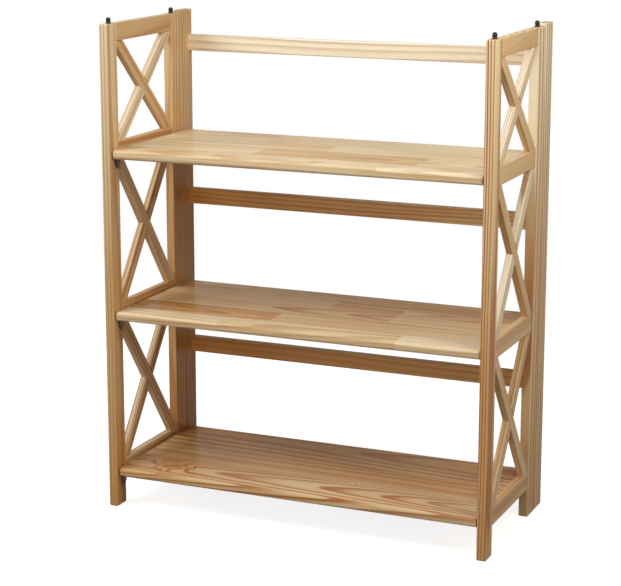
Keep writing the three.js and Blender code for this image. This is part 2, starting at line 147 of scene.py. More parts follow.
class Graph:
    """Builds the nodes of one material or Geometry Nodes tree."""

    def __init__(self, tree: bpy.types.NodeTree) -> None:
        """Keeps the tree that the nodes go into."""
        self.tree = tree

    def node(self, kind: str, settings: dict[str, Any] | None = None,
             inputs: dict[int | str, Any] | None = None, output: int | str = 0) -> Value:
        """Adds a node.

        Args:
            kind: the node's type.
            settings: the node's own properties, which are set first.
            inputs: values or links for its sockets, by index or name.
            output: the output socket that is wanted.

        Returns:
            The wanted output.
        """
        made = self.tree.nodes.new(kind)
        for name, setting in (settings or {}).items():
            setattr(made, name, setting)
        for key, value in (inputs or {}).items():
            if isinstance(value, Value):
                self.tree.links.new(value.socket, made.inputs[key])
            else:
                made.inputs[key].default_value = value
        return Value(self, made.outputs[output])

    def end(self, kind: str, value: Value) -> None:
        """Adds the node that ends the graph, with its last value."""
        self.tree.links.new(value.socket, self.tree.nodes.new(kind).inputs[0])

    def seen(self) -> Value:
        """Tells what the camera sees from what lights the object.

        Returns:
            1 for what is seen, also in a reflection or through glass, and 0 for what gives light.
        """
        rays = [self.node("ShaderNodeLightPath", {}, {}, f"Is {kind} Ray")
                for kind in ("Camera", "Glossy", "Transmission")]
        return rays[0].math("MAXIMUM", rays[1]).math("MAXIMUM", rays[2])

    def vector(self, x: "float | Value", y: "float | Value", z: "float | Value") -> Value:
        """A vector of three numbers."""
        return self.node("ShaderNodeCombineXYZ", {}, {0: x, 1: y, 2: z})

    def parts(self, vector: Value) -> list[Value]:
        """The three numbers of a vector."""
        first = self.node("ShaderNodeSeparateXYZ", {}, {0: vector})
        return [Value(self, socket) for socket in first.socket.node.outputs]

    def distance(self, x: Value, y: Value) -> Value:
        """How far a place is from zero."""
        return (x * x + y * y).math("SQRT")

    def noise(self, vector: Value, detail: float = 2.0, output: int | str = 0) -> Value:
        """Smooth noise from 0 to 1, a new value about every unit of the vector."""
        inputs = {"Vector": vector, "Scale": 1.0, "Detail": detail}
        return self.node("ShaderNodeTexNoise", {}, inputs, output)

    def sway(self, vector: Value, detail: float = 1.0) -> list[Value]:
        """Two smooth noises that go both ways from zero, by up to a half."""
        return [part - NOISE_MEAN for part in self.parts(self.noise(vector, detail, "Color"))[:2]]

    def cloud(self, changes: float, along_share: float = 1.0) -> Value:
        """Smooth noise over a piece, with so many changes in a metre and a share of them along Z."""
        x, y, z = self.parts(self.node("ShaderNodeTexCoord", {}, {}, "Object"))
        return self.noise(self.vector(x * changes, y * changes, z * (changes * along_share)))

    def chance(self, vector: Value) -> Value:
        """A random number from 0 to 1 that stays the same wherever the vector does."""
        colour = self.node("ShaderNodeTexWhiteNoise", {"noise_dimensions": "3D"}, {"Vector": vector}, "Color")
        return self.parts(colour)[0]

    def ease(self, value: Value, low: float, high: float) -> Value:
        """Goes smoothly from 0 at low to 1 at high."""
        settings = {"interpolation_type": "SMOOTHSTEP"}
        return self.node("ShaderNodeMapRange", settings, {"Value": value, "From Min": low, "From Max": high})

    def bump(self, height: Value, strength: float, distance: float) -> Value:
        """Normals that follow a height from 0 to 1, over a distance in metres."""
        return self.node("ShaderNodeBump", {}, {"Strength": strength, "Distance": distance, "Height": height})

    def mix(self, share: "float | Value", first: "Colour | Value", second: "Colour | Value",
            blend: str = "MIX") -> Value:
        """Mixes two colours: the first at share 0 and the second at share 1."""
        settings = {"data_type": "RGBA", "blend_type": blend}
        return self.node("ShaderNodeMix", settings, {0: share, 6: first, 7: second}, 2)


@dataclass(frozen=True)
class Finish:
    """A surface finish, made of shader nodes."""

    name: str

    def shader(self, graph: Graph) -> Value:
        """Builds the finish in a material's graph and gives its shader."""
        raise NotImplementedError

    def material(self) -> bpy.types.Material:
        """Makes the finish's material.

        Returns:
            The material.
        """
        material = bpy.data.materials.new(self.name)
        material.use_nodes = True
        material.node_tree.nodes.clear()
        graph = Graph(material.node_tree)
        graph.end("ShaderNodeOutputMaterial", self.shader(graph))
        return material


@dataclass(frozen=True)
class Streaks:
    """Noise drawn out along the grain.

    It has its changes in a metre across and along, how far a piece's own number moves it each way, and
    how many finer layers it has.
    """

    across: float
    along: float
    step_across: float = 0.0
    step_along: float = 0.0
    detail: float = 2.0

    def spot(self, graph: Graph, wood: Sequence[Value], seed: Value) -> Value:
        """Finds where the noise is read.

        Args:
            graph: the material's graph.
            wood: across, depth and length from the log's heart, in metres.
            seed: the piece's own number.

        Returns:
            The place as a vector.
        """
        across, depth, along = wood
        return graph.vector(across * self.across + seed * self.step_across, depth * self.across,
                            along * self.along + seed * self.step_along)

    def noise(self, graph: Graph, wood: Sequence[Value], seed: Value) -> Value:
        """The noise at a place in the log, from 0 to 1."""
        return graph.noise(self.spot(graph, wood, seed), self.detail)


@dataclass(frozen=True)
class KnotPattern:
    """A few small knots, which run out from the heart of the log.

    The log is divided into cells, so many round it and in a metre along it, and the few whose random
    number is past the rarity have a knot. The core and bend ranges say, in sizes of the knot, over what
    distance the dark wood and the bent rings round it fade out.
    """

    cells_round: float = 0.9
    cells_along: float = 3.4
    step_round: float = 11.0
    step_along: float = 7.0
    rarity_range: Point2 = (0.74, 0.76)
    least_size: float = 0.009
    more_size: float = 0.006
    core_range: Point2 = (0.55, 1.0)
    bend_range: Point2 = (0.5, 4.5)
    dark_share: float = 0.85

    def draw(self, graph: Graph, x: Value, y: Value, along: Value, seed: Value) -> tuple[Value, Value]:
        """Draws the knots.

        Args:
            graph: the material's graph.
            x: distance across from the heart, in metres.
            y: depth from the heart, in metres.
            along: place along the log, in metres.
            seed: the piece's own number.

        Returns:
            How much knot there is, and how far the rings bend round it, both 0 to 1.
        """
        turn = y.math("ARCTAN2", x)
        cell = graph.vector(turn * self.cells_round + seed * self.step_round,
                            along * self.cells_along + seed * self.step_along, 0.0)
        settings = {"voronoi_dimensions": "2D", "feature": "F1"}
        away = graph.node("ShaderNodeTexVoronoi", settings, {"Vector": cell, "Scale": 1.0}, "Distance")
        kind, extra, _ = graph.parts(Value(graph, away.socket.node.outputs["Color"]))
        real = graph.ease(kind, *self.rarity_range)
        reach = away / (extra * self.more_size + self.least_size)
        core = (1 - graph.ease(reach, *self.core_range)) * real
        bend = (1 - graph.ease(reach, *self.bend_range)) * real
        return core * self.dark_share, bend


@dataclass(frozen=True)
class SwirlPattern:
    """Rings that bend round a knot hidden below the surface.

    It has how far the swirl reaches and how many rings it adds, its ripples in a metre along and across,
    and how much narrower it is across.
    """

    reach: float = 62.0 * MM
    rings: float = 2.4
    ripples_along: float = 22.0
    ripples_across: float = 34.0
    narrowing: float = 1.6

    def bulge(self, graph: Graph, swirl: Value) -> Value:
        """Finds how far the swirl pushes the rings out.

        Args:
            graph: the material's graph.
            swirl: the place along and across from the knot in metres, and how strong it is, 0 to 1.

        Returns:
            How many rings the wood swells out by.
        """
        along, across, share = graph.parts(swirl)
        spot = graph.vector(along * self.ripples_along, across * self.ripples_across, 0.0)
        sway_x, sway_y = graph.sway(spot)
        away = graph.distance(along + sway_x * self.reach, across * self.narrowing + sway_y * self.reach)
        return (1 - graph.ease(away, 0.0, self.reach)) * share * self.rings


@dataclass(frozen=True)
class PineFinish(Finish):
    """Clear-lacquered pine, sawn from a log: growth rings, fibres, small knots and a satin gloss.

    Where each face lay in its log, and how its wood looks, comes from the attributes that Grain writes.
    A value whose name ends in rings says how many rings it moves the pattern by, and one that ends in
    range says where something starts and is whole.
    """

    name: str = "pine"
    early: Colour = tint(242, 221, 182)
    sapwood: Colour = tint(252, 241, 218)
    golden: Colour = tint(209, 153, 77)
    late: Colour = tint(177, 99, 40)
    amber: Colour = tint(209, 133, 67)
    knot: Colour = tint(92, 46, 22)
    end_grain: Colour = tint(222, 186, 146)
    ring: float = 8.0 * MM
    wander: float = 30.0 * MM
    drift: Streaks = Streaks(5.0, 0.9, step_along=17.0)
    wave: Streaks = Streaks(26.0, 3.4, step_along=31.0)
    wave_rings: float = 0.6
    uneven_changes: float = 30.0
    uneven_detail: float = 0.0
    uneven_step: float = 9.0
    uneven_rings: float = 1.6
    knots: KnotPattern = KnotPattern()
    knot_rings: float = 0.9
    swirl: SwirlPattern = SwirlPattern()
    swirl_share: float = 0.22
    late_range: Point2 = (0.3, 0.85)
    late_end_range: Point2 = (0.9, 1.0)
    strength_step: float = 50.0
    least_strength: float = 0.5
    warmth_share: float = 0.85
    least_gold: float = 0.05
    sapwood_range: Point2 = (0.0, 0.4)
    blotch: Streaks = Streaks(11.0, 2.4, step_along=3.0, detail=1.0)
    blotch_range: Point2 = (0.35, 0.75)
    blotch_share: float = 0.3
    glow: Streaks = Streaks(16.0, 1.6, step_across=3.0)
    glow_range: Point2 = (0.52, 0.76)
    glow_share: float = 0.3
    streak: Streaks = Streaks(120.0, 1.7, step_along=5.0)
    streak_share: float = 0.16
    fibre: Streaks = Streaks(1500.0, 40.0)
    fibre_share: float = 0.14
    fibre_height_share: float = 0.6
    end_range: Point2 = (0.75, 0.98)
    end_share: float = 0.7
    bump: float = 0.1 * MM
    bump_strength: float = 0.25
    roughness: float = 0.34
    more_roughness: float = 0.12
    coat: float = 0.22
    coat_roughness: float = 0.2

    def shader(self, graph: Graph) -> Value:
        """Builds the wood with its lacquer.

        Args:
            graph: the material's graph.

        Returns:
            The finished shader.
        """
        place, traits, swirl, axis = (
            graph.node("ShaderNodeAttribute", {"attribute_name": name}, {}, "Vector")
            for name in ("grain", "traits", "swirl", "length_axis"))
        bulge = self.swirl.bulge(graph, swirl)
        colour, height = self.figure(graph, graph.parts(place), graph.parts(traits), bulge)
        return self.lacquer(graph, self.end_shade(graph, colour, axis), height)

    def figure(self, graph: Graph, wood: Sequence[Value], traits: Sequence[Value],
               bulge: Value) -> tuple[Value, Value]:
        """Draws the wood's own pattern at a place in its log.

        Args:
            graph: the material's graph.
            wood: across, depth and length from the log's heart, in metres.
            traits: a number that makes this piece its own, how golden its wood is, from below 0 for pale
            sapwood to 1, with painted shade that makes it more golden towards the end of the piece in more
            shade, and how dark its growth rings are.
            bulge: how many rings the wood swells out by.

        Returns:
            The colour and the height of the surface, 0 to 1.
        """
        seed, warmth, contrast = traits
        sway = graph.sway(self.drift.spot(graph, wood, seed))
        x, y = (place + push * self.wander for place, push in zip(wood, sway))
        core, bend = self.knots.draw(graph, x, y, wood[Axis.Z.value], seed)
        wave, streak, blotch, glow, fibre = (
            streaks.noise(graph, wood, seed)
            for streaks in (self.wave, self.streak, self.blotch, self.glow, self.fibre))
        swell = (wave - NOISE_MEAN) * self.wave_rings + bend * self.knot_rings + bulge
        late = self.late_wood(graph, graph.distance(x, y), seed, swell)
        blotches = graph.ease(blotch, *self.blotch_range) * self.blotch_share
        golden = warmth * self.warmth_share + blotches + self.least_gold
        early = graph.mix(graph.ease(warmth * -1.0, *self.sapwood_range), self.early, self.sapwood)
        ground = graph.mix(golden.math("MINIMUM", 1.0), early, self.golden)
        warm = graph.ease(glow, *self.glow_range) * self.glow_share + bulge * self.swirl_share
        banded = graph.mix(late * contrast, graph.mix(warm, ground, self.amber), self.late)
        light = (streak - NOISE_MEAN) * self.streak_share + (fibre - NOISE_MEAN) * self.fibre_share + 1.0
        toned = graph.mix(1.0, banded, graph.vector(light, light, light), "MULTIPLY")
        height = fibre * self.fibre_height_share + late * (1 - self.fibre_height_share)
        return graph.mix(core, toned, self.knot), height

    def late_wood(self, graph: Graph, radius: Value, seed: Value, swell: Value) -> Value:
        """Draws the growth rings, whose late wood darkens slowly and ends at once.

        Args:
            graph: the material's graph.
            radius: the distance from the heart, in metres.
            seed: the piece's own number.
            swell: how many rings the wood swells out by.

        Returns:
            How much late wood there is, 0 to 1.
        """
        spot = graph.vector(radius * self.uneven_changes, seed * self.uneven_step, 0.0)
        phase = radius / self.ring + swell + graph.noise(spot, self.uneven_detail) * self.uneven_rings
        inside = phase.math("FRACT")
        chance = graph.chance(graph.vector(phase.math("FLOOR"), seed * self.strength_step, 0.0))
        strength = chance * (1 - self.least_strength) + self.least_strength
        ended = graph.ease(inside, *self.late_end_range)
        return graph.ease(inside, *self.late_range) * (1 - ended) * strength

    def end_shade(self, graph: Graph, colour: Value, axis: Value) -> Value:
        """Darkens the wood where it is cut across, whose normal lies along its length.

        Args:
            graph: the material's graph.
            colour: the wood's colour.
            axis: the direction of its length.

        Returns:
            The colour with darker ends.
        """
        normal = graph.node("ShaderNodeTexCoord", {}, {}, "Normal")
        settings = {"operation": "DOT_PRODUCT"}
        facing = graph.node("ShaderNodeVectorMath", settings, {0: normal, 1: axis}, "Value")
        share = graph.ease(facing.math("ABSOLUTE"), *self.end_range) * self.end_share
        return graph.mix(share, colour, self.end_grain, "MULTIPLY")

    def lacquer(self, graph: Graph, colour: Value, height: Value) -> Value:
        """Covers the wood with its clear satin lacquer.

        Args:
            graph: the material's graph.
            colour: the wood's colour.
            height: the height of its surface, 0 to 1.

        Returns:
            The finished shader.
        """
        return graph.node("ShaderNodeBsdfPrincipled", {}, {
            "Base Color": colour, "Roughness": height * self.more_roughness + self.roughness,
            "Normal": graph.bump(height, self.bump_strength, self.bump),
            "Specular IOR Level": 0.0, "Coat Weight": self.coat, "Coat Roughness": self.coat_roughness})


@dataclass(frozen=True)
class MetalFinish(Finish):
    """A metal that is finely rubbed, mostly along Z, and cloudy with age."""

    colour: Colour
    shade: Colour
    metallic: float
    roughness: float
    rub_changes: float = 900.0
    rub_along_share: float = 0.2
    rub_roughness: float = 0.12
    cloud_changes: float = 90.0
    cloud_range: Point2 = (0.35, 0.7)
    cloud_roughness: float = 0.1
    bump: float = 0.05 * MM
    bump_strength: float = 0.2
    specular: float = 0.2

    def shader(self, graph: Graph) -> Value:
        """Builds the metal.

        Args:
            graph: the material's graph.

        Returns:
            The finished shader.
        """
        rub = graph.cloud(self.rub_changes, self.rub_along_share)
        cloud = graph.cloud(self.cloud_changes)
        uneven = (rub - NOISE_MEAN) * self.rub_roughness + (cloud - NOISE_MEAN) * self.cloud_roughness
        return graph.node("ShaderNodeBsdfPrincipled", {}, {
            "Base Color": graph.mix(graph.ease(cloud, *self.cloud_range), self.colour, self.shade),
            "Metallic": self.metallic, "Roughness": uneven + self.roughness,
            "Normal": graph.bump(rub, self.bump_strength, self.bump), "Specular IOR Level": self.specular})


@dataclass(frozen=True)
class PlasticFinish(Finish):
    """Glossy moulded plastic with a faint haze."""

    colour: Colour
    bloom: Colour = tint(30, 30, 32)
    bloom_share: float = 0.4
    haze_changes: float = 300.0
    bump: float = 0.05 * MM
    bump_strength: float = 0.08
    roughness: float = 0.1
    more_roughness: float = 0.1
    specular: float = 0.3

    def shader(self, graph: Graph) -> Value:
        """Builds the plastic.

        Args:
            graph: the material's graph.

        Returns:
            The finished shader.
        """
        haze = graph.cloud(self.haze_changes)
        return graph.node("ShaderNodeBsdfPrincipled", {}, {
            "Base Color": graph.mix(haze * self.bloom_share, self.colour, self.bloom),
            "Roughness": haze * self.more_roughness + self.roughness, "Specular IOR Level": self.specular,
            "Normal": graph.bump(haze, self.bump_strength, self.bump)})


@dataclass(frozen=True)
class FloorFinish(Finish):
    """A pale floor that keeps the object's soft shadow and looks white elsewhere."""

    name: str = "pale_floor"
    grey: Colour = tint(150, 148, 144)
    pale: Colour = tint(190, 190, 190)
    glow: float = 0.84
    near: float = 0.8
    far: float = 2.2

    def shader(self, graph: Graph) -> Value:
        """Builds the floor, which turns plain white far from the object.

        Args:
            graph: the material's graph.

        Returns:
            The finished shader.
        """
        x, y, _ = graph.parts(graph.node("ShaderNodeTexCoord", {}, {}, "Object"))
        seen = graph.seen()
        matt = graph.node("ShaderNodeBsdfDiffuse", {}, {"Color": graph.mix(seen, self.grey, self.pale)})
        glow = graph.node("ShaderNodeEmission", {}, {"Strength": seen * self.glow})
        near = graph.node("ShaderNodeAddShader", {}, {0: matt, 1: glow})
        white = graph.node("ShaderNodeEmission", {}, {"Strength": seen})
        away = graph.ease(graph.distance(x, y), self.near, self.far)
        return graph.node("ShaderNodeMixShader", {}, {0: away, 1: near, 2: white})


class GeometryTree(Graph):
    """A Geometry Nodes tree with named inputs, and the plain meshes that it makes."""

    def __init__(self, name: str) -> None:
        """Starts the tree with its geometry input and output.

        Args:
            name: the tree's name.
        """
        super().__init__(bpy.data.node_groups.new(name, "GeometryNodeTree"))
        for way in ("INPUT", "OUTPUT"):
            self.tree.interface.new_socket("Geometry", in_out=way, socket_type="NodeSocketGeometry")
        self.start = self.tree.nodes.new("NodeGroupInput")
        self.identifiers: dict[str, str] = {}

    def entry(self, name: str, kind: str) -> Value:
        """Adds a named input.

        Args:
            name: the input's name.
            kind: the type of its socket, without the words that every type starts with.

        Returns:
            The input's value.
        """
        made = self.tree.interface.new_socket(name, in_out="INPUT", socket_type=f"NodeSocket{kind}")
        self.identifiers[name] = made.identifier
        return Value(self, self.start.outputs[name])

    def close(self, geometry: Value) -> None:
        """Ends the tree: real meshes, not instances, in one material.

        Args:
            geometry: what the tree has made.
        """
        real = self.node("GeometryNodeRealizeInstances", {}, {0: geometry})
        inputs = {"Geometry": real, "Material": self.entry("Material", "Material")}
        self.end("NodeGroupOutput", self.node("GeometryNodeSetMaterial", {}, inputs))

    def make(self, name: str, inputs: dict[str, Any], base: bpy.types.Mesh | None = None) -> bpy.types.Object:
        """Runs the tree once.

        Args:
            name: the new piece's name.
            inputs: a value for each named input.
            base: the mesh that the tree starts from, or nothing.

        Returns:
            An object with the tree's result as its own plain mesh.
        """
        piece = new_object(name, base or bpy.data.meshes.new(name))
        modifier = piece.modifiers.new("tree", "NODES")
        modifier.node_group = self.tree
        for key, value in inputs.items():
            modifier[self.identifiers[key]] = value
        return settle(piece)


def new_object(name: str, mesh: bpy.types.Mesh) -> bpy.types.Object:
    """Puts a mesh into the scene as an object at the origin.

    Args:
        name: the object's name.
        mesh: its mesh.

    Returns:
        The object.
    """
    piece = bpy.data.objects.new(name, mesh)
    bpy.context.scene.collection.objects.link(piece)
    return piece


def settle(piece: bpy.types.Object) -> bpy.types.Object:
    """Turns a piece with its modifiers into a piece with that shape as its own mesh.

    Args:
        piece: the piece, which loses its modifiers.

    Returns:
        The same piece.
    """
    bpy.context.view_layer.update()
    mesh = bpy.data.meshes.new_from_object(piece.evaluated_get(bpy.context.evaluated_depsgraph_get()))
    piece.modifiers.clear()
    piece.data = mesh
    mesh.name = piece.name
    return piece


def bar_tree() -> GeometryTree:
    """Builds a tree for a straight bar along Z, around the origin, with round long edges and flat ends.

    Returns:
        The tree, whose inputs are the bar's sizes and its material.
    """
    tree = GeometryTree("rounded_bar")
    sizes = ("Width", "Depth", "Length", "Radius")
    width, depth, length, radius = (tree.entry(name, "Float") for name in sizes)
    steps = tree.entry("Steps", "Int")
    outline = tree.node("GeometryNodeCurvePrimitiveQuadrilateral", {}, {"Width": width, "Height": depth})
    inputs = {"Curve": outline, "Radius": radius, "Count": steps, "Limit Radius": True}
    rounded = tree.node("GeometryNodeFilletCurve", {"mode": "POLY"}, inputs)
    low, high = (tree.vector(0.0, 0.0, length * half) for half in (-0.5, 0.5))
    line = tree.node("GeometryNodeCurvePrimitiveLine", {}, {"Start": low, "End": high})
    inputs = {"Curve": line, "Profile Curve": rounded, "Fill Caps": True}
    tree.close(tree.node("GeometryNodeCurveToMesh", {}, inputs))
    return tree


def screw_tree() -> GeometryTree:
    """Builds a tree that sets a copy of one screw on every point of a mesh, facing as the point says.

    Returns:
        The tree, whose inputs are the screw and its material.
    """
    tree = GeometryTree("screws")
    screw = tree.entry("Screw", "Object")
    shape = tree.node("GeometryNodeObjectInfo", {}, {"Object": screw, "As Instance": True}, "Geometry")
    facing = tree.node("GeometryNodeInputNamedAttribute", {"data_type": "FLOAT_VECTOR"}, {"Name": "facing"})
    turn = tree.node("FunctionNodeAlignRotationToVector", {"axis": "Z"}, {"Vector": facing})
    points = Value(tree, tree.start.outputs["Geometry"])
    inputs = {"Points": points, "Instance": shape, "Rotation": turn}
    tree.close(tree.node("GeometryNodeInstanceOnPoints", {}, inputs))
    return tree


def from_bmesh(name: str, shape: bmesh.types.BMesh) -> bpy.types.Object:
    """Makes an object of a closed shape, with its faces pointing out.

    Args:
        name: the new piece's name.
        shape: the shape, which is used up.

    Returns:
        The solid as an object.
    """
    bmesh.ops.recalc_face_normals(shape, faces=shape.faces)
    mesh = bpy.data.meshes.new(name)
    shape.to_mesh(mesh)
    shape.free()
    return new_object(name, mesh)


@contextmanager
def reshaped(piece: bpy.types.Object) -> Iterator[bmesh.types.BMesh]:
    """Opens a piece's mesh for changes and writes them back.

    Args:
        piece: the piece.

    Returns:
        The shape to change.
    """
    shape = bmesh.new()
    shape.from_mesh(piece.data)
    yield shape
    shape.to_mesh(piece.data)
    shape.free()


def split(shape: bmesh.types.BMesh, faces: Iterable[bmesh.types.BMFace], place: Vector, way: Vector,
          trims: bool = False) -> None:
    """Splits faces where they cross a plane.

    Args:
        shape: the shape that the faces belong to.
        faces: the faces.
        place: a place on the plane.
        way: the way that the plane faces.
        trims: whether what lies in front of the plane is removed.
    """
    chosen = list(faces)
    edges = dict.fromkeys(edge for face in chosen for edge in face.edges)
    corners = dict.fromkeys(corner for face in chosen for corner in face.verts)
    bmesh.ops.bisect_plane(shape, geom=[*corners, *edges, *chosen], plane_co=place, plane_no=way,
                           clear_outer=trims)


def prism(name: str, outline: Sequence[Point2], axis: Axis, low: float, high: float) -> bpy.types.Object:
    """Pulls a closed outline along an axis into a solid.

    Args:
        name: the new piece's name.
        outline: the corners, in the other two directions in X, Y, Z order.
        axis: the direction of the pull.
        low: where the solid starts on that axis.
        high: where it ends.

    Returns:
        The solid as an object.
    """
    shape = bmesh.new()
    rings = [[shape.verts.new((*point[:axis.value], place, *point[axis.value:])) for point in outline]
             for place in (low, high)]
    for ring in rings:
        shape.faces.new(ring)
    for index, corner in enumerate(rings[0]):
        after = (index + 1) % len(outline)
        shape.faces.new((corner, rings[0][after], rings[1][after], rings[1][index]))
    return from_bmesh(name, shape)


def turned(name: str, outline: Sequence[Point2], sides: int) -> bpy.types.Object:
    """Spins an outline about Z into a solid.

    Args:
        name: the new piece's name.
        outline: points of radius and height, which start and end on the axis.
        sides: how many flat faces there are round the axis.

    Returns:
        The solid as an object.
    """
    shape = bmesh.new()
    rings = []
    for radius, height in outline:
        count = 1 if radius == 0 else sides
        angles = [math.tau * step / count for step in range(count)]
        rings.append([shape.verts.new((radius * math.cos(a), radius * math.sin(a), height)) for a in angles])
    for lower, upper in zip(rings, rings[1:]):
        for step in range(sides):
            after = (step + 1) % sides
            corners = [lower[step % len(lower)], lower[after % len(lower)],
                       upper[after % len(upper)], upper[step % len(upper)]]
            shape.faces.new(list(dict.fromkeys(corners)))
    return from_bmesh(name, shape)


def arc(centre: Point2, radius: float, first: float, last: float, steps: int) -> list[Point2]:
    """Points on an arc, from one angle to another in degrees."""
    angles = [math.radians(first + (last - first) * step / steps) for step in range(steps + 1)]
    return [(centre[0] + radius * math.cos(a), centre[1] + radius * math.sin(a)) for a in angles]


def box_solid(name: str, low: Vector, high: Vector) -> bpy.types.Object:
    """A plain box, used only to cut with."""
    outline = [(low.y, low.z), (high.y, low.z), (high.y, high.z), (low.y, high.z)]
    return prism(name, outline, Axis.X, low.x, high.x)


def combine(piece: bpy.types.Object, tools: Iterable[bpy.types.Object],
            operation: str = "DIFFERENCE") -> None:
    """Cuts a piece by each tool, or keeps only what is inside it, and removes the tools.

    Args:
        piece: the piece to cut.
        tools: the solids that cut it.
        operation: the Boolean modifier's operation.
    """
    for tool in tools:
        modifier = piece.modifiers.new("cut", "BOOLEAN")
        modifier.operation = operation
        modifier.solver = "MANIFOLD"
        modifier.object = tool
        settle(piece)
        bpy.data.objects.remove(tool)


def round_edges(piece: bpy.types.Object, radius: float, steps: int, least_angle: float = 60.0) -> None:
    """Rounds the sharp edges of a piece.

    Args:
        piece: the piece.
        radius: how far the rounding reaches from each edge.
        steps: how many faces it has.
        least_angle: the least turn of the surface that makes an edge sharp, in degrees.
    """
    modifier = piece.modifiers.new("round", "BEVEL")
    modifier.width = radius
    modifier.segments = steps
    modifier.limit_method = "ANGLE"
    modifier.angle_limit = math.radians(least_angle)
    settle(piece)


def smooth(piece: bpy.types.Object, sharpest: float = 40.0) -> None:
    """Shades a piece smoothly, with its large faces flat.

    Args:
        piece: the piece.
        sharpest: the greatest turn of the surface that is still smooth, in degrees.
    """
    mesh = piece.data
    mesh.polygons.foreach_set("use_smooth", [True] * len(mesh.polygons))
    mesh.set_sharp_from_angle(angle=math.radians(sharpest))
    modifier = piece.modifiers.new("normals", "WEIGHTED_NORMAL")
    modifier.keep_sharp = True
    modifier.weight = FLAT_FACE_WEIGHT
    settle(piece)


def dress(piece: bpy.types.Object, material: bpy.types.Material, nodes: Sequence[str],
          body: str = "frame") -> None:
    """Gives a finished piece its material, its body and the nodes that it stands for.

    Args:
        piece: the finished piece.
        material: its material.
        nodes: the solids that it stands for.
        body: the body that it moves with.
    """
    piece.data.materials.clear()
    piece.data.materials.append(material)
    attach(piece, body)
    if nodes:
        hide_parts(*nodes)
    LOG.info("%s: %d faces on %s", piece.name, len(piece.data.polygons), body)


@dataclass(frozen=True)
class LogCut:
    """How a piece of wood was sawn, its own tone and the painted shade along it.

    Its middle lay at a distance from the heart of the log, turned by an angle in degrees, and its length
    at a slant in degrees to the fibres. Ring is the width of one growth ring. Warmth, contrast and seed
    are the traits that the pine finish reads. The painted shade ramp is painted shade: how much warmer the
    wood is at the far end, so that the end in more shade is painted more golden and darker. Shift moves
    the pattern along the log in metres, and a swirl is a place along and across from the middle.
    """

    heart: float = 60.0 * MM
    turn: float = 30.0
    ring: float = 8.0 * MM
    slant: float = 0.0
    warmth: float = 0.3
    # Painted shade: the wood is painted more golden and darker towards the end of the piece in more shade.
    fade: float = 0.0
    contrast: float = 0.75
    shift: float = 0.0
    seed: float = 0.0
    swirl: Point2 | None = None

    @classmethod
    def of(cls, name: str) -> "LogCut":
        """Finds the cut of a piece: as listed where the table has it, and else picked by its name.

        Args:
            name: the piece's name.

        Returns:
            The cut.
        """
        pick = random.Random(name)
        values = {trait: pick.uniform(*limits) for trait, limits in USUAL_CUTS.items()}
        return cls(**{**values, **CUTS.get(name, {})})

    def place(self, offset: Vector, length: Vector, side: Vector) -> Triple:
        """Turns a place in the piece into a place in the log.

        Args:
            offset: the place, from the piece's middle.
            length: the direction of its grain.
            side: a direction across it.

        Returns:
            Across, depth and length from the log's heart, stretched to the finish's own ring width.
        """
        fibre = Matrix.Rotation(math.radians(self.slant), 3, side) @ length
        angle = math.radians(self.turn)
        across = offset.dot(side) + self.heart * math.cos(angle)
        depth = offset.dot(fibre.cross(side)) + self.heart * math.sin(angle)
        stretch = PineFinish.ring / self.ring
        return across * stretch, depth * stretch, offset.dot(fibre) + self.shift


USUAL_CUTS: dict[str, Point2] = {
    "heart": (25.0 * MM, 80.0 * MM), "turn": (0.0, 360.0), "warmth": (0.1, 0.5), "contrast": (0.6, 0.95),
    "shift": (0.0, 9.0), "seed": (0.0, 1.0), "ring": (5.5 * MM, 9.5 * MM)}

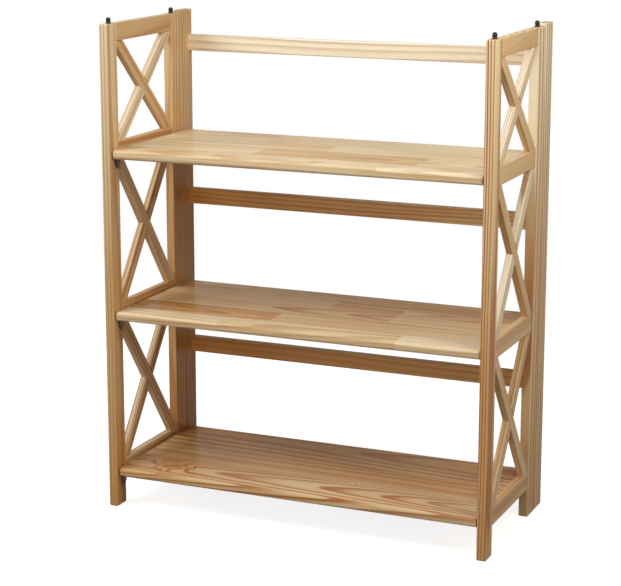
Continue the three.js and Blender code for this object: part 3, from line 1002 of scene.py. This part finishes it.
# The ramps in this table are painted shade: the foot of each upright and the shaded end of a back rail are
# painted more golden and darker. The paler upper rail and braces and the more golden lower ones are partly
# the wood's own tone and partly painted shade.
CUTS: dict[str, dict[str, float]] = {
    "left_front_stile": {"heart": 60 * MM, "turn": 15, "ring": 6.4 * MM, "warmth": 0.4, "fade": -0.5,
                         "contrast": 0.6, "shift": 4.0},
    "right_front_stile": {"heart": 87 * MM, "turn": 4, "ring": 6.0 * MM, "warmth": 0.33, "fade": -0.4,
                          "contrast": 1.4},
    "left_rear_stile": {"heart": 70 * MM, "turn": 80, "ring": 9.0 * MM, "warmth": 0.5, "fade": -0.25,
                        "contrast": 0.6},
    "right_rear_stile": {"heart": 90 * MM, "turn": 84, "ring": 17.0 * MM, "warmth": 0.05, "fade": -0.35,
                         "contrast": 0.9},
    "left_back_post": {"heart": 80 * MM, "turn": 92, "ring": 9.5 * MM, "warmth": 0.5, "fade": -0.2,
                       "contrast": 0.65},
    "right_back_post": {"heart": 90 * MM, "turn": 88, "ring": 15.0 * MM, "warmth": 0.1, "fade": -0.35,
                        "contrast": 0.9},
    "back_rail_upper": {"heart": 70 * MM, "turn": 80, "ring": 13.0 * MM, "slant": 0.6, "warmth": -0.4,
                        "fade": 0.05, "contrast": 0.5},
    "back_rail_middle": {"turn": 80, "ring": 9.0 * MM, "warmth": 0.35, "fade": -0.55, "contrast": 0.6},
    "back_rail_lower": {"heart": 70 * MM, "turn": 75, "ring": 15.0 * MM, "slant": 0.8, "warmth": 0.6,
                        "contrast": 0.5},
    "left_top_rail": {"heart": 34 * MM, "turn": 25, "ring": 13.0 * MM, "slant": 4, "warmth": 0.25,
                      "contrast": 0.6},
    "left_upper_rail": {"turn": 30, "ring": 9.0 * MM, "warmth": 0.5, "contrast": 0.7},
    "right_top_rail": {"heart": 70 * MM, "turn": 90, "ring": 5.4 * MM, "slant": 7, "warmth": 0.2,
                       "contrast": 0.45},
    "right_upper_rail": {"turn": 5, "ring": 14.0 * MM, "warmth": 0.35, "contrast": 0.4},
    "right_middle_rail": {"turn": 5, "ring": 14.0 * MM, "warmth": 0.35, "contrast": 0.4},
    "right_lower_rail": {"turn": 5, "ring": 12.0 * MM, "warmth": 0.4, "contrast": 0.5},
    "right_brace_upper_rising": {"ring": 4.5 * MM, "warmth": -0.4, "contrast": 0.58},
    "right_brace_middle_rising": {"ring": 4.5 * MM, "warmth": -0.35, "contrast": 0.8},
    "left_brace_upper_rising": {"warmth": -0.2, "contrast": 0.6},
    "left_brace_middle_falling": {"warmth": 0.1, "contrast": 0.7},
    "right_brace_lower_falling": {"warmth": 0.05, "contrast": 0.6},
}


@dataclass(frozen=True)
class Stave:
    """A strip of a glued board: its width, and where each length of wood in it ends on X and its cut."""

    width: float
    lengths: tuple[tuple[float, LogCut], ...]


Strip = tuple[float, float, Stave]

# The last stave and the last length of each stave end here, past every board, and are cut off by the board.
PAST_END = 1000.0 * MM

# The staves from the front to the back. Each cut has its heart, turn, ring, slant, warmth, painted shade
# ramp, contrast, shift and seed, and one has a swirl.
BOARDS: dict[Level, tuple[Stave, ...]] = {
    Level.UPPER: (
        Stave(60 * MM, (
            (55 * MM, LogCut(45 * MM, 80, 7 * MM, -3, 0.1, 0, 0.4, 0.4, 0.11)),
            (170 * MM, LogCut(70 * MM, 20, 9 * MM, 0, 0.0, 0, 0.25, 3.0, 0.23)),
            (PAST_END, LogCut(40 * MM, 95, 9 * MM, 3, -0.08, 0, 0.28, 5.0, 0.71)))),
        Stave(90 * MM, (
            (-110 * MM, LogCut(60 * MM, 70, 9 * MM, 1, 0.2, 0, 0.35, 1.0, 0.31)),
            (225 * MM, LogCut(36 * MM, 92, 9 * MM, 2, 0.5, 0, 0.5, 2.0, 0.52)),
            (PAST_END, LogCut(52 * MM, 84, 8 * MM, -3, 0.15, 0, 0.4, 6.0, 0.83)))),
        Stave(70 * MM, (
            (5 * MM, LogCut(48 * MM, 60, 11 * MM, -1, 0.15, 0, 0.5, 4.0, 0.44)),
            (PAST_END, LogCut(80 * MM, 40, 11 * MM, 1, 0.05, 0, 0.3, 7.0, 0.62)))),
        Stave(PAST_END, (
            (-150 * MM, LogCut(60 * MM, 100, 10 * MM, 2, 0.2, 0, 0.35, 8.0, 0.15)),
            (90 * MM, LogCut(50 * MM, 60, 9 * MM, 1, 0.1, 0, 0.35, 2.5, 0.75)),
            (PAST_END, LogCut(60 * MM, 120, 9 * MM, -2, 0.05, 0, 0.35, 3.5, 0.95))))),
    Level.MIDDLE: (
        Stave(53 * MM, (
            (-155 * MM, LogCut(70 * MM, 60, 9 * MM, 1, -0.06, 0, 0.3, 1.2, 0.17)),
            (210 * MM, LogCut(46 * MM, 75, 9 * MM, -2, 0.1, 0, 0.45, 2.2, 0.37)),
            (PAST_END, LogCut(80 * MM, 30, 10 * MM, 1, -0.12, 0, 0.28, 4.4, 0.66)))),
        Stave(70 * MM, (
            (-70 * MM, LogCut(50 * MM, 80, 6 * MM, 2, 0.75, 0, 1.1, 5.1, 0.28)),
            (PAST_END, LogCut(64 * MM, 70, 11 * MM, -1, 0.25, 0, 0.45, 6.3, 0.58)))),
        Stave(70 * MM, (
            (-110 * MM, LogCut(60 * MM, 50, 10 * MM, 1, 0.35, 0, 0.4, 0.7, 0.49)),
            (145 * MM, LogCut(44 * MM, 95, 9 * MM, -3, 0.4, 0, 0.8, 7.7, 0.12)),
            (PAST_END, LogCut(70 * MM, 60, 10 * MM, 1, 0.3, 0, 0.4, 3.1, 0.81)))),
        Stave(70 * MM, (
            (-5 * MM, LogCut(80 * MM, 30, 12 * MM, 0, 0.35, 0, 0.3, 2.9, 0.33)),
            (145 * MM, LogCut(50 * MM, 70, 12 * MM, 0, 0.5, 0, 0.85, 5.5, 0.92)),
            (PAST_END, LogCut(46 * MM, 84, 7 * MM, 3, 0.4, 0, 0.6, 8.1, 0.55)))),
        Stave(PAST_END, (
            (-100 * MM, LogCut(60 * MM, 40, 10 * MM, 0, 0.35, 0, 0.5, 1.9, 0.72)),
            (PAST_END, LogCut(60 * MM, 75, 8 * MM, 1, 0.5, 0, 0.6, 6.6, 0.21))))),
    # The lower shelf's ramps are painted shade, which makes its front and back staves more golden and darker
    # towards the left end.
    Level.LOWER: (
        Stave(106 * MM, (
            (PAST_END, LogCut(48 * MM, 88, 7 * MM, -3, 0.3, -0.25, 1.1, 1.6, 0.47, (-285 * MM, 0.0))),)),
        Stave(86 * MM, (
            (PAST_END, LogCut(90 * MM, 50, 16 * MM, 0.5, 0.5, 0, 0.7, 2.7, 0.63)),)),
        Stave(PAST_END, (
            (PAST_END, LogCut(70 * MM, 115, 14 * MM, -2, 0.55, -0.15, 0.95, 4.9, 0.36)),))),
}


@dataclass(frozen=True)
class Grain:
    """Writes onto a piece's mesh how its wood lay in the log."""

    length: Vector
    side: Vector

    def lay(self, piece: bpy.types.Object, cut_at: Callable[[Vector], LogCut]) -> None:
        """Gives every corner of every face its place in the log, its tone with its painted shade, and its
        distance from a swirl.

        Args:
            piece: the finished piece.
            cut_at: gives the cut of the wood at the middle of a face.
        """
        mesh = piece.data
        box = [Vector(corner) for corner in piece.bound_box]
        middle = sum(box, Vector()) / len(box)
        span = max(abs((corner - middle).dot(self.length)) for corner in box)
        rows: dict[str, list[Triple]] = {"grain": [], "traits": [], "swirl": []}
        for face in mesh.polygons:
            cut = cut_at(face.center)
            share = 0.0 if cut.swirl is None else 1.0
            swirl = cut.swirl or (0.0, 0.0)
            for corner in face.loop_indices:
                offset = mesh.vertices[mesh.loops[corner].vertex_index].co - middle
                along, across = offset.dot(self.length), offset.dot(self.side)
                rows["grain"].append(cut.place(offset, self.length, self.side))
                # The warmth adds a painted shade ramp along the piece to the wood's own tone.
                rows["traits"].append((cut.seed, cut.warmth + cut.fade * along / span, cut.contrast))
                rows["swirl"].append((along - swirl[0], across - swirl[1], share))
        rows["length_axis"] = [tuple(self.length)] * len(rows["grain"])
        for name, vectors in rows.items():
            attribute = mesh.attributes.new(name, "FLOAT_VECTOR", "CORNER")
            attribute.data.foreach_set("vector", [number for vector in vectors for number in vector])


@dataclass
class Materials:
    """Every finish as a material, made once."""

    pine: bpy.types.Material = field(default_factory=PineFinish().material)
    bronze: bpy.types.Material = field(default_factory=MetalFinish(
        "dark_bronze", tint(72, 46, 28), tint(38, 25, 17), metallic=0.45, roughness=0.42).material)
    worn: bpy.types.Material = field(default_factory=MetalFinish(
        "worn_bronze", tint(150, 128, 98), tint(92, 70, 48), metallic=1.0, roughness=0.36).material)
    brass: bpy.types.Material = field(default_factory=MetalFinish(
        "brass", tint(196, 160, 98), tint(170, 132, 76), metallic=1.0, roughness=0.32).material)
    steel: bpy.types.Material = field(default_factory=MetalFinish(
        "zinc_steel", tint(188, 187, 182), tint(158, 157, 152), metallic=1.0, roughness=0.28).material)
    black: bpy.types.Material = field(default_factory=PlasticFinish("black_gloss", tint(10, 10, 11)).material)


@dataclass
class Timber:
    """Makes the wooden bars: their rounded shapes, and the cut of wood that each one has."""

    materials: Materials
    bars: GeometryTree
    steps: int = 4

    def bar(self, name: str, low: Vector, high: Vector, axis: Axis, radius: float) -> bpy.types.Object:
        """Makes a bar with round long edges and flat ends.

        Args:
            name: the new piece's name.
            low: its corner with the least X, Y and Z.
            high: its corner with the greatest.
            axis: the direction in which it is long.
            radius: the radius of its long edges.

        Returns:
            The bar as an object.
        """
        size, middle = high - low, (high + low) / 2
        turns = {Axis.X: Matrix.Rotation(math.pi / 2, 4, "Y"), Axis.Y: Matrix.Rotation(-math.pi / 2, 4, "X"),
                 Axis.Z: Matrix.Identity(4)}
        cross = {Axis.X: (size.z, size.y), Axis.Y: (size.x, size.z), Axis.Z: (size.x, size.y)}[axis]
        piece = self.bars.make(name, {
            "Width": cross[0], "Depth": cross[1], "Length": size[axis.value],
            "Radius": radius, "Steps": self.steps, "Material": self.materials.pine})
        piece.data.transform(Matrix.Translation(middle) @ turns[axis])
        return piece

    def finish(self, piece: bpy.types.Object, node: str, length: Vector, side: Vector) -> None:
        """Shades a wooden piece, lays its grain and dresses it in place of its node.

        Args:
            piece: the finished shape.
            node: the solid that it stands for, whose name picks its cut.
            length: the direction of its grain.
            side: a direction across it.
        """
        cut = LogCut.of(node)
        smooth(piece)
        Grain(length.normalized(), side).lay(piece, lambda _: cut)
        dress(piece, self.materials.pine, [node])


@dataclass
class Upright:
    """A post or stile with round edges and, where it has them, peg sockets and hinge recesses."""

    timber: Timber
    node: str
    edge: float = 2.6 * MM
    end: float = 3.2 * MM
    steps: int = 4

    def build(self, sockets: Sequence["PegSocket"] = (), recesses: Sequence["HingeRecess"] = ()) -> None:
        """Makes the upright.

        Args:
            sockets: the sockets in its foot.
            recesses: the recesses for its hinge leaves.
        """
        low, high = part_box(self.node)
        piece = self.timber.bar(f"{self.node}_wood", low, high, Axis.Z, self.edge)
        round_edges(piece, self.end, self.steps)
        tools = [socket.tool() for socket in sockets]
        tools += [tool for recess in recesses for tool in recess.tools()]
        combine(piece, tools)
        self.timber.finish(piece, self.node, Axis.Z.way, Axis.X.way)


def bore_tool(name: str, centre: Vector, radius: float, half: float, sides: int) -> bpy.types.Object:
    """Makes an upright round bar to cut with.

    Args:
        name: the tool's name.
        centre: its middle.
        radius: its radius.
        half: half its height.
        sides: how many flat faces there are round it.

    Returns:
        The tool.
    """
    tool = turned(name, [(0.0, -half), (radius, -half), (radius, half), (0.0, half)], sides)
    tool.data.transform(Matrix.Translation(centre))
    return tool


@dataclass(frozen=True)
class PegSocket:
    """The socket in a stile's foot that takes the stacking peg of a bookcase below."""

    peg: str
    spare: float = 1.5 * MM
    clearance: float = 0.4 * MM
    sides: int = 32

    def tool(self) -> bpy.types.Object:
        """Makes the solid that cuts the socket.

        Returns:
            The tool.
        """
        stile_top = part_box(self.peg.replace("_peg", "_stile"))[1].z
        low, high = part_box(self.peg)
        middle = (low + high) / 2
        radius = (high.x - low.x) / 2 + self.clearance
        depth = high.z - stile_top + self.spare
        return bore_tool("socket_tool", Vector((middle.x, middle.y, 0.0)), radius, depth, self.sides)


@dataclass(frozen=True)
class HingeRecess:
    """The recess for one hinge leaf and the groove for its knuckles."""

    leaf: str
    pin: str
    groove: float = 2.3 * MM
    leaf_depth: float = 1.35 * MM
    clearance: float = 0.3 * MM
    sides: int = 24

    @classmethod
    def all_of(cls, side: Side, upright: str) -> list["HingeRecess"]:
        """The recesses in one side's post or stile."""
        hinges = [f"{side.label}_hinge_{level.value}" for level in HINGE_LEVELS]
        return [cls(f"{hinge}_{upright}_leaf", f"{hinge}_pin") for hinge in hinges]

    def tools(self) -> list[bpy.types.Object]:
        """Makes the solids that cut the recess.

        Returns:
            The tools for the leaf and the groove.
        """
        low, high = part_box(self.leaf)
        pin_low, pin_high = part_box(self.pin)
        axis = (pin_low + pin_high) / 2
        axis.z = (low.z + high.z) / 2
        low.y, high.y = axis.y - self.leaf_depth, axis.y + self.leaf_depth
        room = Vector((self.clearance, 0.0, self.clearance))
        plate = box_solid("leaf_tool", low - room, high + room)
        half = (high.z - low.z) / 2 + self.clearance
        return [plate, bore_tool("groove_tool", axis, self.groove, half, self.sides)]


@dataclass
class Brace:
    """One of two crossed bars, cut to its opening and half lapped into the other."""

    timber: Timber
    node: str
    is_falling: bool
    width: float = 24.5 * MM
    aim_past_rail: float = 11.0 * MM
    edge: float = 3.0 * MM
    lap_gap: float = 0.15 * MM

    def build(self) -> None:
        """Makes the bar."""
        low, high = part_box(self.node)
        middle = (low + high) / 2
        thickness = high.x - low.x
        rise = high.z - low.z + 2 * self.aim_past_rail
        run = high.y - low.y
        lean = -1 if self.is_falling else 1
        tilt, other_tilt = (Matrix.Rotation(way * math.atan2(rise, run), 4, "X") for way in (lean, -lean))
        half = Vector((thickness / 2, math.hypot(rise, run) / 2 + self.width, self.width / 2))
        bar = self.timber.bar(f"{self.node}_wood", -half, half, Axis.Y, self.edge)
        near, far = sorted((-lean * self.lap_gap / 2, lean * thickness))
        lap = self.width / 2 + self.lap_gap
        other = box_solid("lap_tool", Vector((near, -half.y, -lap)), Vector((far, half.y, lap)))
        bar.data.transform(Matrix.Translation(middle) @ tilt)
        other.data.transform(Matrix.Translation(middle) @ other_tilt)
        combine(bar, [other])
        past = Axis.X.way * thickness
        combine(bar, [box_solid("opening_tool", low - past, high + past)], "INTERSECT")
        self.timber.finish(bar, self.node, tilt @ Axis.Y.way, Axis.X.way)


@dataclass
class SideFrame:
    """A side frame: stiles, rails, crossed braces and stacking pegs."""

    timber: Timber
    side: Side
    rail_edge: float = 2.0 * MM
    rail_names: tuple[str, ...] = ("lower_rail", "middle_rail", "upper_rail", "top_rail")

    def build(self) -> None:
        """Makes all the wooden pieces of the frame and its pegs."""
        label = self.side.label
        for place, recesses in (("front", []), ("rear", HingeRecess.all_of(self.side, "stile"))):
            socket = PegSocket(f"{label}_{place}_peg")
            Upright(self.timber, f"{label}_{place}_stile").build([socket], recesses)
        for name in self.rail_names:
            self.rail(f"{label}_{name}")
        for level in Level:
            for direction in ("falling", "rising"):
                Brace(self.timber, f"{label}_brace_{level.value}_{direction}", direction == "falling").build()
        for place in ("front", "rear"):
            StackingPeg(self.timber.materials, f"{label}_{place}_peg").build()

    def rail(self, node: str) -> None:
        """Makes one rail between the stiles.

        Args:
            node: the solid that it stands for.
        """
        low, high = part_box(node)
        low.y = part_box(f"{self.side.label}_front_stile")[1].y
        high.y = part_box(f"{self.side.label}_rear_stile")[0].y
        piece = self.timber.bar(f"{node}_wood", low, high, Axis.Y, self.rail_edge)
        self.timber.finish(piece, node, Axis.Y.way, Axis.X.way)


@dataclass
class BackFrame:
    """The back frame: two posts and three rails."""

    timber: Timber
    rail_edge: float = 2.4 * MM

    def build(self) -> None:
        """Makes the posts and rails."""
        for side in Side:
            Upright(self.timber, f"{side.label}_back_post").build((), HingeRecess.all_of(side, "post"))
        left, right = (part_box(f"{side.label}_back_post") for side in Side)
        for level in Level:
            node = f"back_rail_{level.value}"
            low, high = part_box(node)
            low.x, high.x = left[1].x, right[0].x
            piece = self.timber.bar(f"{node}_wood", low, high, Axis.X, self.rail_edge)
            self.timber.finish(piece, node, Axis.X.way, Axis.Y.way)


@dataclass
class Shelf:
    """A shelf, glued up from staves, with a rounded front edge, which tips up on its pins."""

    materials: Materials
    level: Level
    nose: float = 6.0 * MM
    heel: float = 2.0 * MM
    steps: int = 8
    end: float = 1.2 * MM
    end_steps: int = 3

    def build(self) -> None:
        """Makes the board."""
        node = f"shelf_{self.level.value}"
        low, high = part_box(node)
        piece = prism(f"{node}_board", self.section(low, high), Axis.X, low.x, high.x)
        round_edges(piece, self.end, self.end_steps)
        strips = self.strips(low.y, high.y)
        self.divide(piece, strips)
        smooth(piece)
        Grain(Axis.X.way, Axis.Y.way).lay(piece, lambda centre: self.cut_at(centre, strips))
        dress(piece, self.materials.pine, [node], f"{self.level.value}_shelf")

    def section(self, low: Vector, high: Vector) -> list[Point2]:
        """Draws the board's section, round at the nose and less so at the heel.

        Args:
            low: the board's corner with the least X, Y and Z.
            high: its corner with the greatest.

        Returns:
            The outline in Y and Z.
        """
        nose, heel = self.nose, self.heel
        corners = ((high.y - heel, high.z - heel, heel), (low.y + nose, high.z - nose, nose),
                   (low.y + nose, low.z + nose, nose), (high.y - heel, low.z + heel, heel))
        outline = []
        for quarter, (y, z, radius) in enumerate(corners):
            outline += arc((y, z), radius, quarter * RIGHT_ANGLE, (quarter + 1) * RIGHT_ANGLE, self.steps)
        return outline

    def strips(self, start: float, end: float) -> list[Strip]:
        """Finds where each stave starts and ends on Y.

        Args:
            start: where the board starts, at its front.
            end: where it ends.

        Returns:
            The staves from the front to the back, each with its start and end.
        """
        found = []
        for stave in BOARDS[self.level]:
            stop = min(start + stave.width, end)
            found.append((start, stop, stave))
            start = stop
        return found

    @staticmethod
    def divide(piece: bpy.types.Object, strips: Sequence[Strip]) -> None:
        """Splits the board's faces where two staves or two lengths meet, without changing its shape.

        Args:
            piece: the whole board.
            strips: where each stave starts and ends on Y.
        """
        with reshaped(piece) as shape:
            for start, _, _ in strips[1:]:
                split(shape, shape.faces, Axis.Y.way * start, Axis.Y.way)
            for start, stop, stave in strips:
                for place, _ in stave.lengths[:-1]:
                    faces = [face for face in shape.faces if start < face.calc_center_median().y < stop]
                    split(shape, faces, Axis.X.way * place, Axis.X.way)

    @staticmethod
    def cut_at(centre: Vector, strips: Sequence[Strip]) -> LogCut:
        """Finds the cut of the wood at a place in the board.

        Args:
            centre: the place.
            strips: where each stave starts and ends on Y.

        Returns:
            The cut, with its heart and its swirl measured from the middle of the board.
        """
        start, stop, stave = next((strip for strip in strips if centre.y <= strip[1]), strips[-1])
        cut = next(cut for end, cut in stave.lengths if centre.x <= end)
        aside = (start + stop) / 2 - (strips[0][0] + strips[-1][1]) / 2
        across = cut.heart * math.cos(math.radians(cut.turn)) - aside
        depth = cut.heart * math.sin(math.radians(cut.turn))
        swirl = cut.swirl and (cut.swirl[0], cut.swirl[1] + aside)
        return replace(cut, heart=math.hypot(across, depth), turn=math.degrees(math.atan2(depth, across)),
                       swirl=swirl)


@dataclass
class ShelfRest:
    """A shelf rest: a pointed plate on the stile, bent over at the top into a tab."""

    materials: Materials
    side: Side
    level: Level
    metal: float = 1.5 * MM
    tab: float = 12.0 * MM
    bend: float = 1.2 * MM
    bend_steps: int = 6
    point_rise: float = 6.0 * MM
    edge: float = 0.3 * MM
    edge_steps: int = 2
    least_angle: float = 50.0

    @property
    def node(self) -> str:
        """The name of the solid that the rest stands for."""
        return f"{self.side.label}_rest_{self.level.value}"

    def face_x(self) -> float:
        """Where the stile's inner face is."""
        low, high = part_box(f"{self.side.label}_front_stile")
        return high.x if self.side is Side.LEFT else low.x

    def build(self) -> None:
        """Makes the bent plate."""
        low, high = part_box(self.node)
        piece = prism(f"{self.node}_plate", self.section(low.z, high.z), Axis.Y, low.y, high.y)
        tip = Vector((0.0, (low.y + high.y) / 2, low.z))
        with reshaped(piece) as shape:
            for towards in (-1, 1):
                slant = Vector((0.0, towards * self.point_rise, tip.y - high.y))
                split(shape, shape.faces, tip, slant, trims=True)
                bmesh.ops.holes_fill(shape, edges=[edge for edge in shape.edges if edge.is_boundary])
            bmesh.ops.recalc_face_normals(shape, faces=shape.faces)
        round_edges(piece, self.edge, self.edge_steps, self.least_angle)
        smooth(piece)
        dress(piece, self.materials.bronze, [self.node])

    def section(self, foot: float, top: float) -> list[Point2]:
        """Draws the bent plate's section, up the stile and round the bend to the end of the tab.

        Args:
            foot: the height of the plate's foot.
            top: the height of the tab's top.

        Returns:
            The outline in X and Z.
        """
        metal, outer = self.metal, self.bend + self.metal
        centre = (outer, top - outer)
        outline = [(0.0, foot), *arc(centre, outer, 2 * RIGHT_ANGLE, RIGHT_ANGLE, self.bend_steps)]
        outline += [(self.tab, top), (self.tab, top - metal)]
        outline += [*arc(centre, self.bend, RIGHT_ANGLE, 2 * RIGHT_ANGLE, self.bend_steps), (metal, foot)]
        return [(self.face_x() - self.side.value * x, z) for x, z in outline]

    def screw_place(self, drop: float) -> tuple[Vector, Vector]:
        """Finds the screw's seat.

        Args:
            drop: how far the screw is below the rest's top.

        Returns:
            The middle of the seat, and the way that the screw's head faces.
        """
        low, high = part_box(self.node)
        facing = Axis.X.way * -self.side.value
        seat = Vector((self.face_x(), (low.y + high.y) / 2, high.z - drop)) + facing * self.metal
        return seat, facing


@dataclass
class RestScrews:
    """The pan-head screws of the shelf rests: one screw, copied to every place by Geometry Nodes."""

    materials: Materials
    rests: Sequence[ShelfRest]
    head_radius: float = 2.7 * MM
    head_height: float = 0.8 * MM
    drop: float = 9.0 * MM
    slot_width: float = 0.7 * MM
    slot_length: float = 3.2 * MM
    slot_depth: float = 0.5 * MM
    sides: int = 28
    rim_steps: int = 6
    sharpest: float = 50.0

    def one(self) -> bpy.types.Object:
        """Makes one screw head, on the origin and facing +Z, with a cross slot.

        Returns:
            The screw head.
        """
        radius, height = self.head_radius, self.head_height
        quarter = arc((0.0, 0.0), 1.0, 0.0, RIGHT_ANGLE, self.rim_steps)[:-1]
        rim = [(radius * x, height * z) for x, z in quarter]
        head = turned("screw", [(0.0, 0.0), *rim, (0.0, height)], self.sides)
        half, width = self.slot_length / 2, self.slot_width / 2
        floor = height - self.slot_depth
        combine(head, [box_solid("slot_tool", Vector((-a, -b, floor)), Vector((a, b, 2 * height)))
                       for a, b in ((half, width), (width, half))])
        smooth(head, self.sharpest)
        return head

    def build(self) -> None:
        """Makes all the screws as one piece."""
        places = [rest.screw_place(self.drop) for rest in self.rests]
        base = bpy.data.meshes.new("screw_places")
        base.from_pydata([seat for seat, _ in places], [], [])
        facing = base.attributes.new("facing", "FLOAT_VECTOR", "POINT")
        facing.data.foreach_set("vector", [number for _, way in places for number in way])
        screw = self.one()
        piece = screw_tree().make("rest_screws", {"Screw": screw, "Material": self.materials.worn}, base)
        bpy.data.objects.remove(screw)
        dress(piece, self.materials.worn, [])


@dataclass
class StackingPeg:
    """A ball-headed stacking peg with its skirt, neck and shank."""

    materials: Materials
    node: str
    skirt: float = 2.5 * MM
    skirt_round: float = 0.6 * MM
    skirt_foot: float = 0.3 * MM
    shoulder_sweep: float = 60.0
    shoulder_steps: int = 3
    neck: float = 4.6 * MM
    neck_height: float = 1.2 * MM
    shank: float = 3.0 * MM
    sides: int = 40
    ball_steps: int = 14
    sharpest: float = 50.0

    def build(self) -> None:
        """Makes the peg."""
        low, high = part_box(self.node)
        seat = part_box(self.node.replace("_peg", "_stile"))[1].z
        radius = (high.x - low.x) / 2
        height = high.z - seat
        first = -math.degrees(math.acos(self.neck / radius))
        ball = arc((0.0, height - radius), radius, first, RIGHT_ANGLE, self.ball_steps)[:-1]
        shoulder = arc((radius - self.skirt_round, self.skirt - self.skirt_round), self.skirt_round, 0.0,
                       self.shoulder_sweep, self.shoulder_steps)
        outline = [(0.0, low.z - seat), (self.shank, low.z - seat), (self.shank, 0.0)]
        outline += [(radius - self.skirt_foot, 0.0), (radius, self.skirt_foot), *shoulder]
        outline += [(self.neck, self.skirt + self.neck_height / 2), *ball, (0.0, height)]
        piece = turned(f"{self.node}_head", outline, self.sides)
        middle = (low + high) / 2
        piece.data.transform(Matrix.Translation((middle.x, middle.y, seat)))
        smooth(piece, self.sharpest)
        dress(piece, self.materials.black, [self.node])


@dataclass
class Hardware:
    """The hinges and pivot pins, which keep their own solids and get their metals."""

    materials: Materials

    def build(self) -> None:
        """Gives each solid its metal."""
        for ending, metal in (("_leaf", self.materials.brass), ("_pin", self.materials.steel)):
            for name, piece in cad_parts.items():
                if name.endswith(ending):
                    for slot in piece.material_slots:
                        slot.material = metal
                    LOG.info("%s: %s", name, metal.name)


@dataclass(frozen=True)
class Lamp:
    """A square area lamp: where it hangs, what it points at, its side in metres, its watts and its colour."""

    name: str
    place: Triple
    target: Triple
    size: float
    power: float
    colour: Triple

    def build(self) -> None:
        """Hangs the lamp."""
        data = bpy.data.lights.new(self.name, "AREA")
        data.size = self.size
        data.energy = self.power
        data.color = self.colour
        lamp = bpy.data.objects.new(self.name, data)
        lamp.location = self.place
        lamp.rotation_euler = (Vector(self.target) - Vector(self.place)).to_track_quat("-Z", "Y").to_euler()
        lamp.visible_camera = False
        bpy.context.scene.collection.objects.link(lamp)


LAMPS = (
    Lamp("key", (-1.5, -1.3, 2.0), (0.0, 0.0, 0.8), 1.0, 30.0, (0.94, 0.97, 1.0)),
    Lamp("overhead", (0.0, -0.2, 2.6), (0.0, 0.0, 0.5), 1.4, 17.0, (0.82, 0.94, 1.0)),
    Lamp("near_right", (1.2, -0.6, 1.4), (0.2, 0.0, 0.8), 0.7, 9.5, (1.0, 0.95, 0.8)),
    Lamp("right_fill", (2.2, -0.1, 1.3), (0.0, 0.0, 0.7), 1.0, 6.0, (1.0, 0.8, 0.55)),
    Lamp("front_fill", (0.2, -2.8, 1.1), (0.0, 0.0, 0.6), 1.2, 16.5, (1.0, 0.86, 0.69)),
    Lamp("back_fill", (-2.2, 1.9, 0.55), (0.0, 0.0, 0.5), 0.9, 19.0, (1.0, 0.9, 0.78)),
)


@dataclass
class Studio:
    """The floor, the lights and the camera, whose place and turn in degrees follow the photograph."""

    floor_size: float = 30.0
    floor_drop: float = 0.2 * MM
    lens: float = 110.2
    eye: Triple = (1.412, -3.360, 1.287)
    turn: float = 23.27
    down: float = 12.19
    shift: float = -0.05
    ambient: float = 0.03
    white: Colour = (1.0, 1.0, 1.0, 1.0)

    def build(self) -> None:
        """Makes the whole studio."""
        bpy.context.scene.view_settings.view_transform = "Standard"
        self.camera()
        self.floor()
        self.world()
        for lamp in LAMPS:
            lamp.build()

    def camera(self) -> None:
        """Sets the camera where the photograph was taken from."""
        data = bpy.data.cameras.new("camera")
        data.lens = self.lens
        data.shift_y = self.shift
        camera = bpy.data.objects.new("camera", data)
        camera.location = self.eye
        camera.rotation_euler = (math.radians(RIGHT_ANGLE - self.down), 0.0, math.radians(self.turn))
        bpy.context.scene.collection.objects.link(camera)
        bpy.context.scene.camera = camera

    def floor(self) -> None:
        """Lays a pale floor, which keeps the bookcase's soft shadow and melts into the background."""
        half = self.floor_size / 2
        corners = [(x * half, y * half, -self.floor_drop) for x, y in ((-1, -1), (1, -1), (1, 1), (-1, 1))]
        mesh = bpy.data.meshes.new("floor")
        mesh.from_pydata(corners, [], [(0, 1, 2, 3)])
        mesh.materials.append(FloorFinish().material())
        new_object("floor", mesh)

    def world(self) -> None:
        """Makes a white background that lights the bookcase softly."""
        world = bpy.data.worlds.new("studio")
        world.use_nodes = True
        world.node_tree.nodes.clear()
        graph = Graph(world.node_tree)
        strength = graph.seen() * (1 - self.ambient) + self.ambient
        light = graph.node("ShaderNodeBackground", {}, {"Color": self.white, "Strength": strength})
        graph.end("ShaderNodeOutputWorld", light)
        bpy.context.scene.world = world


def main() -> None:
    """Builds the studio, then dresses the bookcase from the back frame forwards."""
    logging.basicConfig(level=logging.INFO, format="%(message)s")
    Studio().build()
    materials = Materials()
    timber = Timber(materials, bar_tree())
    BackFrame(timber).build()
    for side in Side:
        SideFrame(timber, side).build()
    for level in Level:
        Shelf(materials, level).build()
    rests = [ShelfRest(materials, side, level) for side in Side for level in Level]
    for rest in rests:
        rest.build()
    RestScrews(materials, rests).build()
    Hardware(materials).build()


if __name__ == "__main__":
    main()
